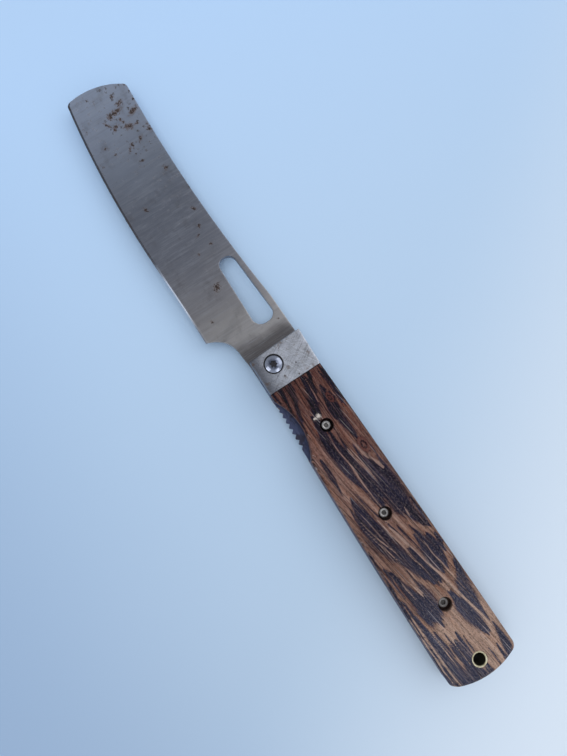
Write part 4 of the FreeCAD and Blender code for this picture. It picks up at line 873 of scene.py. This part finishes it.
def brass(name, low, middle, high):
    """Tarnished copper alloy, with painted shade inside the tube's bore."""
    g = Material(name)
    cloud = g.noise(g.place, (0.5, 0.5, 0.5), 4.0, 0.65)
    turned = g.noise(g.place, (1.0, 1.0, 7.0), 3.0, 0.6, shift=4.0)
    base = g.ramp(cloud, [(0.32, low), (0.52, middle), (0.72, high)])
    height = g.math("ABSOLUTE", g.minus(g.split(g.place)[2], MID_HEIGHT))
    # painted shade inside the tube's bore, near black
    bore = g.times(g.soft(g.away(TUBE), 2.36, 2.28), g.soft(height, 7.1, 6.6))
    base = g.mix(g.times(bore, 0.95), base, "14100b")
    g.bump(turned, 0.2, 0.00004)
    rough = g.scaled(cloud, 0.35, 0.18)
    return g.set(color=base, metallic=g.scaled(bore, -0.9, 1.0), roughness=rough)


finishes = {
    "blade_steel": blade_steel(),
    "liner_steel": liner_steel(),
    "bolster_steel": bolster_steel(),
    "bright_steel": bright_steel(),
    "washer_bronze": brass("washer_bronze_plain", "6b4a2c", "9a6f43", "b88a58"),
    "tube_brass": brass("tube_brass_tarnished", "a1977a", "cdc6a8", "ebe5d0"),
}
for row in frame["record"]["subparts"]:
    for holder in nodes[row["node"]].material_slots:
        holder.material = finishes.get(row["material_slot"])


# blade

BLADE_HALF, EDGE_HALF = 1.25, 0.05  # half thickness of the blade and of its cutting edge
GRIND_TOP = 8.0  # grind line, above the pivot
GRIND_HEIGHT = 25.2  # down to the lowest edge; the half thickness loses 1 mm over it
GRIND_SOFTNESS = 0.6
PLUNGE_TOP, PLUNGE_LEAN = 23.4, 7.5  # where the grind starts at its top, and how far it leans
HEEL_DROP = 11.8  # from the pivot down to the heel
PLUNGE_LENGTH, PLUNGE_GROWTH = 1.6, 4.4  # at the heel, and from there up to the pivot
BEVEL_WIDTH = 0.95
WORN_EDGE = 0.14
KEEN_FROM = (22.5, 10.9)  # the cutting edge is past these, in X and Y
BLADE_STEP = 0.7
BLADE_ROWS, BLADE_GRID = (0.05, 0.14, 0.5, 0.95, 1.1), (0.55, 0.5)
REAR_RUST_TURN, REAR_RUST_SHIFT = (-1, -0.9), (141, 3)  # so that the rear's marks differ


def keen_sides(rims):
    """The cutting edge's share of the blade's outline."""
    first, low = KEEN_FROM
    return [(a, b) for a, b in sides(rims[:1]) if min(a[1], b[1]) > low and min(a[0], b[0]) > first]


def spot_distance(points, ovals):
    """Distance of each point to the nearest of some ovals, 1 on its rim."""
    best = np.full(len(points), FAR)
    for x, y, length, width, angle in ovals:
        turn = math.radians(angle)
        along = (points - (x, y)) @ (math.cos(turn), math.sin(turn)) / length
        over = (points - (x, y)) @ (-math.sin(turn), math.cos(turn)) / width
        best = np.minimum(best, np.hypot(along, over))
    return best


def blade_face(points, rims):
    """Half thickness of the blade: flat ricasso, hollow plunge, ground flank and edge bevel."""
    reach, rise = points[:, 0] - PIVOT[0], PIVOT[1] - points[:, 1]
    below = GRIND_TOP - rise
    ground = BLADE_HALF - (below + np.sqrt(below ** 2 + GRIND_SOFTNESS)) / 2 / GRIND_HEIGHT
    start = PLUNGE_TOP - PLUNGE_LEAN * below / GRIND_HEIGHT
    length = PLUNGE_LENGTH + PLUNGE_GROWTH * np.clip((rise + HEEL_DROP) / HEEL_DROP, 0, 1.4)
    share = np.clip((reach - start) / length, 0, 1)
    share = share * share * (3 - 2 * share)
    half = BLADE_HALF - share * (BLADE_HALF - ground)
    keen = keen_sides(rims)
    near = np.clip(clearance(points, keen) / BEVEL_WIDTH, 0, 1)
    dull = clearance(points, [s for s in sides(rims) if s not in keen])
    half = np.where(near < 1, np.minimum(half, EDGE_HALF + (ground - EDGE_HALF) * near), half)
    return np.maximum(half - rounded(dull, WORN_EDGE) * np.minimum(half, 1), EDGE_HALF)


def make_blade():
    """The blade from its CAD outline, with a ground flank, a bevel, and rust painted on both sides."""
    rims = outlines("blade", lambda heights: min(heights) > MID_HEIGHT)
    rims = [divided(rim, BLADE_STEP) for rim in rims]
    spots, faces, numbers = triangles(rims, inner_points(rims, BLADE_ROWS, BLADE_GRID))
    half = blade_face(spots, rims)
    bevel = np.minimum(clearance(spots, keen_sides(rims)) / BEVEL_WIDTH, 3)
    front_rust = spot_distance(spots, RUST_SPOTS)
    rear_rust = spot_distance(spots * REAR_RUST_TURN + REAR_RUST_SHIFT, RUST_SPOTS)
    shape = Shape()
    front = shape.add(np.column_stack([spots, MID_HEIGHT + half]))
    rear = shape.add(np.column_stack([spots, MID_HEIGHT - half]))
    shape.faces += [[front[i] for i in f] for f in faces]
    shape.faces += [[rear[i] for i in reversed(f)] for f in faces]
    for rim in numbers:
        shape.strip([front[i] for i in rim], [rear[i] for i in rim])
    shape.finish("blade_ground", "blade", "blade", "blade_steel", finishes["blade_steel"],
                 rust=np.append(front_rust, rear_rust), bevel=np.append(bevel, bevel))


# screws

SOCKET = 0.8  # from a socket's middle to its flats
RING_POINTS = 48
# Rings of (kind, size, height over the liner, dirt and painted shade), from the socket's floor out.
# A flat ring's size is a share of the socket, a round one's its radius.
SCREW_ROWS = [
    ("flat", 0.02, 1.02, 0.8), ("flat", 0.97, 1.05, 1), ("flat", 1, 1.66, 0.8), ("flat", 1, 1.74, 0.5),
    ("round", 1.05, 1.84, 0.2), ("round", 1.2, 1.87, 0.05), ("round", 1.5, 1.88, 0),
    ("round", 1.66, 1.85, 0), ("round", 1.78, 1.75, 0), ("round", 1.84, 1.58, 0.2),
    ("round", 1.85, 0.82, 1), ("round", 0.98, 0.82, 1), ("round", 0.98, -1.2, 1),
]
# Dirt added to each screw, from the first to the last
SCREW_DIRT = (0.0, 0.22, 0.65)


def make_screws(label, side):
    """Three cap screws with worn rims, a little dirt, and painted shade in their six-sided sockets and
    down their sides.
    """
    shape, grime = Shape(), []
    inside = INSIDE[side]
    for n, (x, y) in enumerate(SCREWS):
        rows = []
        for kind, size, height, dirt in SCREW_ROWS:
            ring = []
            for i in range(RING_POINTS):
                turn = 2 * math.pi * i / RING_POINTS
                reach = size
                if kind == "flat":
                    reach = size * SOCKET / math.cos((turn + n) % (math.pi / 3) - math.pi / 6)
                ring.append((x + reach * math.cos(turn), y + reach * math.sin(turn),
                             inside + height * side))
            rows.append(shape.add(ring))
            # dirt and painted shade for each ring
            grime += [min(1.0, dirt + SCREW_DIRT[n])] * RING_POINTS
        for upper, lower in zip(rows, rows[1:]):
            shape.strip(upper, lower)
        shape.faces += [rows[0], rows[-1][::-1]]
    shape.finish(f"{label}_screws_worn", "handle", f"{label}_scale_screws", "bright_steel",
                 finishes["bright_steel"], side < 0, grime=grime)


# pieces

# A sink's radius, its floor's height over the liner, and the radius of the hole through
SCREW_SINK = (2.6, 0.8, 1.03)
TUBE_HOLE = (2.83, None, 2.83)
PIVOT_SINK = (3.7, 2.6, 2.43)
# Rows of points along the rims, grid inside them, and rows down a wall
SCALE_ROWS, SCALE_GRID, SCALE_WALL = (0.04, 0.12, 0.25, 0.45, 0.7, 1.0, 1.35), (0.8, 0.24), 6
BOLSTER_ROWS, BOLSTER_GRID, BOLSTER_WALL = (0.04, 0.1, 0.2, 0.32, 0.5), (0.6, 0.6), 2

make_blade()
for side, label in ((1, "front"), (-1, "rear")):
    sinks = [(x, y, *SCREW_SINK) for x, y in SCREWS] + [(*TUBE, *TUBE_HOLE)]
    slab(f"{label}_scale_worn", f"{label}_scale", side, sinks, SCALE_ROWS, SCALE_GRID, scale_face,
         SCALE_WALL, "scale_wood", wood(f"{label}_scale_wood", side), figure(side))
    slab(f"{label}_bolster_worn", f"{label}_bolster", side, [(*PIVOT, *PIVOT_SINK)], BOLSTER_ROWS,
         BOLSTER_GRID, bolster_face, BOLSTER_WALL, "bolster_steel", finishes["bolster_steel"])
    make_screws(label, side)


# floor

def floor_material():
    """Pale blue-white table with painted shade past the knife's belly and painted light past its butt.
    """
    g = Material("pale_floor")
    x, y, _ = g.split(g.place)
    cloud = g.noise(g.place, (0.006, 0.006, 0.006), 3.0, 0.5)
    base = g.ramp(cloud, [(0.3, "afc9e6"), (0.5, "b3cce8"), (0.7, "b7cfea")])
    # painted light: lighter and bluer towards +X
    tone = g.ramp(g.scaled(x, 1 / 300, 0.45),
                  [(0.15, "b3c8dd"), (0.5, "b3cce6"), (0.95, "b4d3f6")])
    base = g.mix(0.8, base, tone)
    near = g.soft(g.vector("LENGTH", g.place), 620.0, 150.0)
    shade = g.times(g.soft(y, 20.0, 185.0, 0.0, 0.55), near)
    past = g.minus(g.times(y, -0.7), x)
    glow = g.times(g.soft(past, 40.0, 230.0, 0.0, 0.85), near)
    base = g.mix(shade, base, "7290b8")
    base = g.mix(glow, base, "e3ecf6")
    base = g.mix(g.minus(1.0, near), base, "c3d3e6")
    return g.set(color=base, roughness=0.6, specular=0.3)


FLOOR_SIZE = 6.0  # metres

bpy.ops.mesh.primitive_plane_add(size=FLOOR_SIZE, location=(0, 0, cad_box[0][2]))
floor = bpy.context.object
floor.name = "floor"
floor.data.materials.append(floor_material())


# light

# Linear colours of the sky from the horizon up
SKY = [(0.0, (0.86, 0.9, 0.96, 1)), (0.45, (0.93, 0.96, 1.0, 1)), (0.72, (0.86, 0.9, 0.96, 1)),
       (0.9, (0.58, 0.61, 0.66, 1))]
SKY_STRENGTH, SKY_LEAN = 0.64, -0.2  # the sky gets weaker towards +X


def studio():
    """Soft sky: bright all round, dimmer straight overhead and past the blade's tip."""
    world = bpy.data.worlds.new("studio")
    scene.world = world
    world.use_nodes = True
    g = Graph(world.node_tree)
    x, _, z = g.split(g.add("ShaderNodeTexCoord").outputs["Generated"])
    ramp = g.add("ShaderNodeValToRGB", z)
    fill_ramp(ramp, SKY)
    g.fill(g.tree.nodes["Background"], Color=ramp.outputs[0],
           Strength=g.scaled(x, SKY_LEAN, SKY_STRENGTH))


def lamp(name, place, size, power, mirrored=True, lighting=True):
    """A square lamp that faces the knife, seen in shiny surfaces or lighting matt ones, or both."""
    light = bpy.data.lights.new(name, "AREA")
    light.size = size
    light.energy = power
    holder = bpy.data.objects.new(name, light)
    scene.collection.objects.link(holder)
    holder.visible_glossy = mirrored
    holder.visible_diffuse = lighting
    holder.location = place
    holder.rotation_euler = (-Vector(place)).to_track_quat("-Z", "Y").to_euler()


studio()
lamp("overhead", (0, 0.1, 1.2), 0.9, 6.5, mirrored=False)
lamp("key", (0.05, -0.75, 0.95), 0.9, 2.5)
lamp("belly_window", (-0.05, 0.8, 0.85), 0.5, 1.2, lighting=False)
lamp("butt_window", (-0.85, -0.15, 0.85), 0.5, 1.2, lighting=False)


# camera

CAMERA_PLACE = (-0.0196214, 0.0197586, 0.2235529)
CAMERA_RIGHT = (-0.549154, -0.834699, 0.041309)
CAMERA_UP = (0.832904, -0.54258, 0.108987)
CAMERA_BACK = (-0.068557, 0.094257, 0.993184)
FOCAL_PIXELS = 565
PHOTO_HEIGHT = 756
SENSOR_HEIGHT = 24  # millimetres

lens = bpy.data.cameras.new("camera")
lens.sensor_fit = "VERTICAL"
lens.sensor_height = SENSOR_HEIGHT
lens.lens = FOCAL_PIXELS / PHOTO_HEIGHT * SENSOR_HEIGHT
lens.clip_start = 0.005
camera = bpy.data.objects.new("camera", lens)
scene.collection.objects.link(camera)
turn = Matrix((CAMERA_RIGHT, CAMERA_UP, CAMERA_BACK)).transposed()
camera.matrix_world = Matrix.Translation(CAMERA_PLACE) @ turn.to_4x4()
scene.camera = camera
scene.view_settings.view_transform = "Standard"
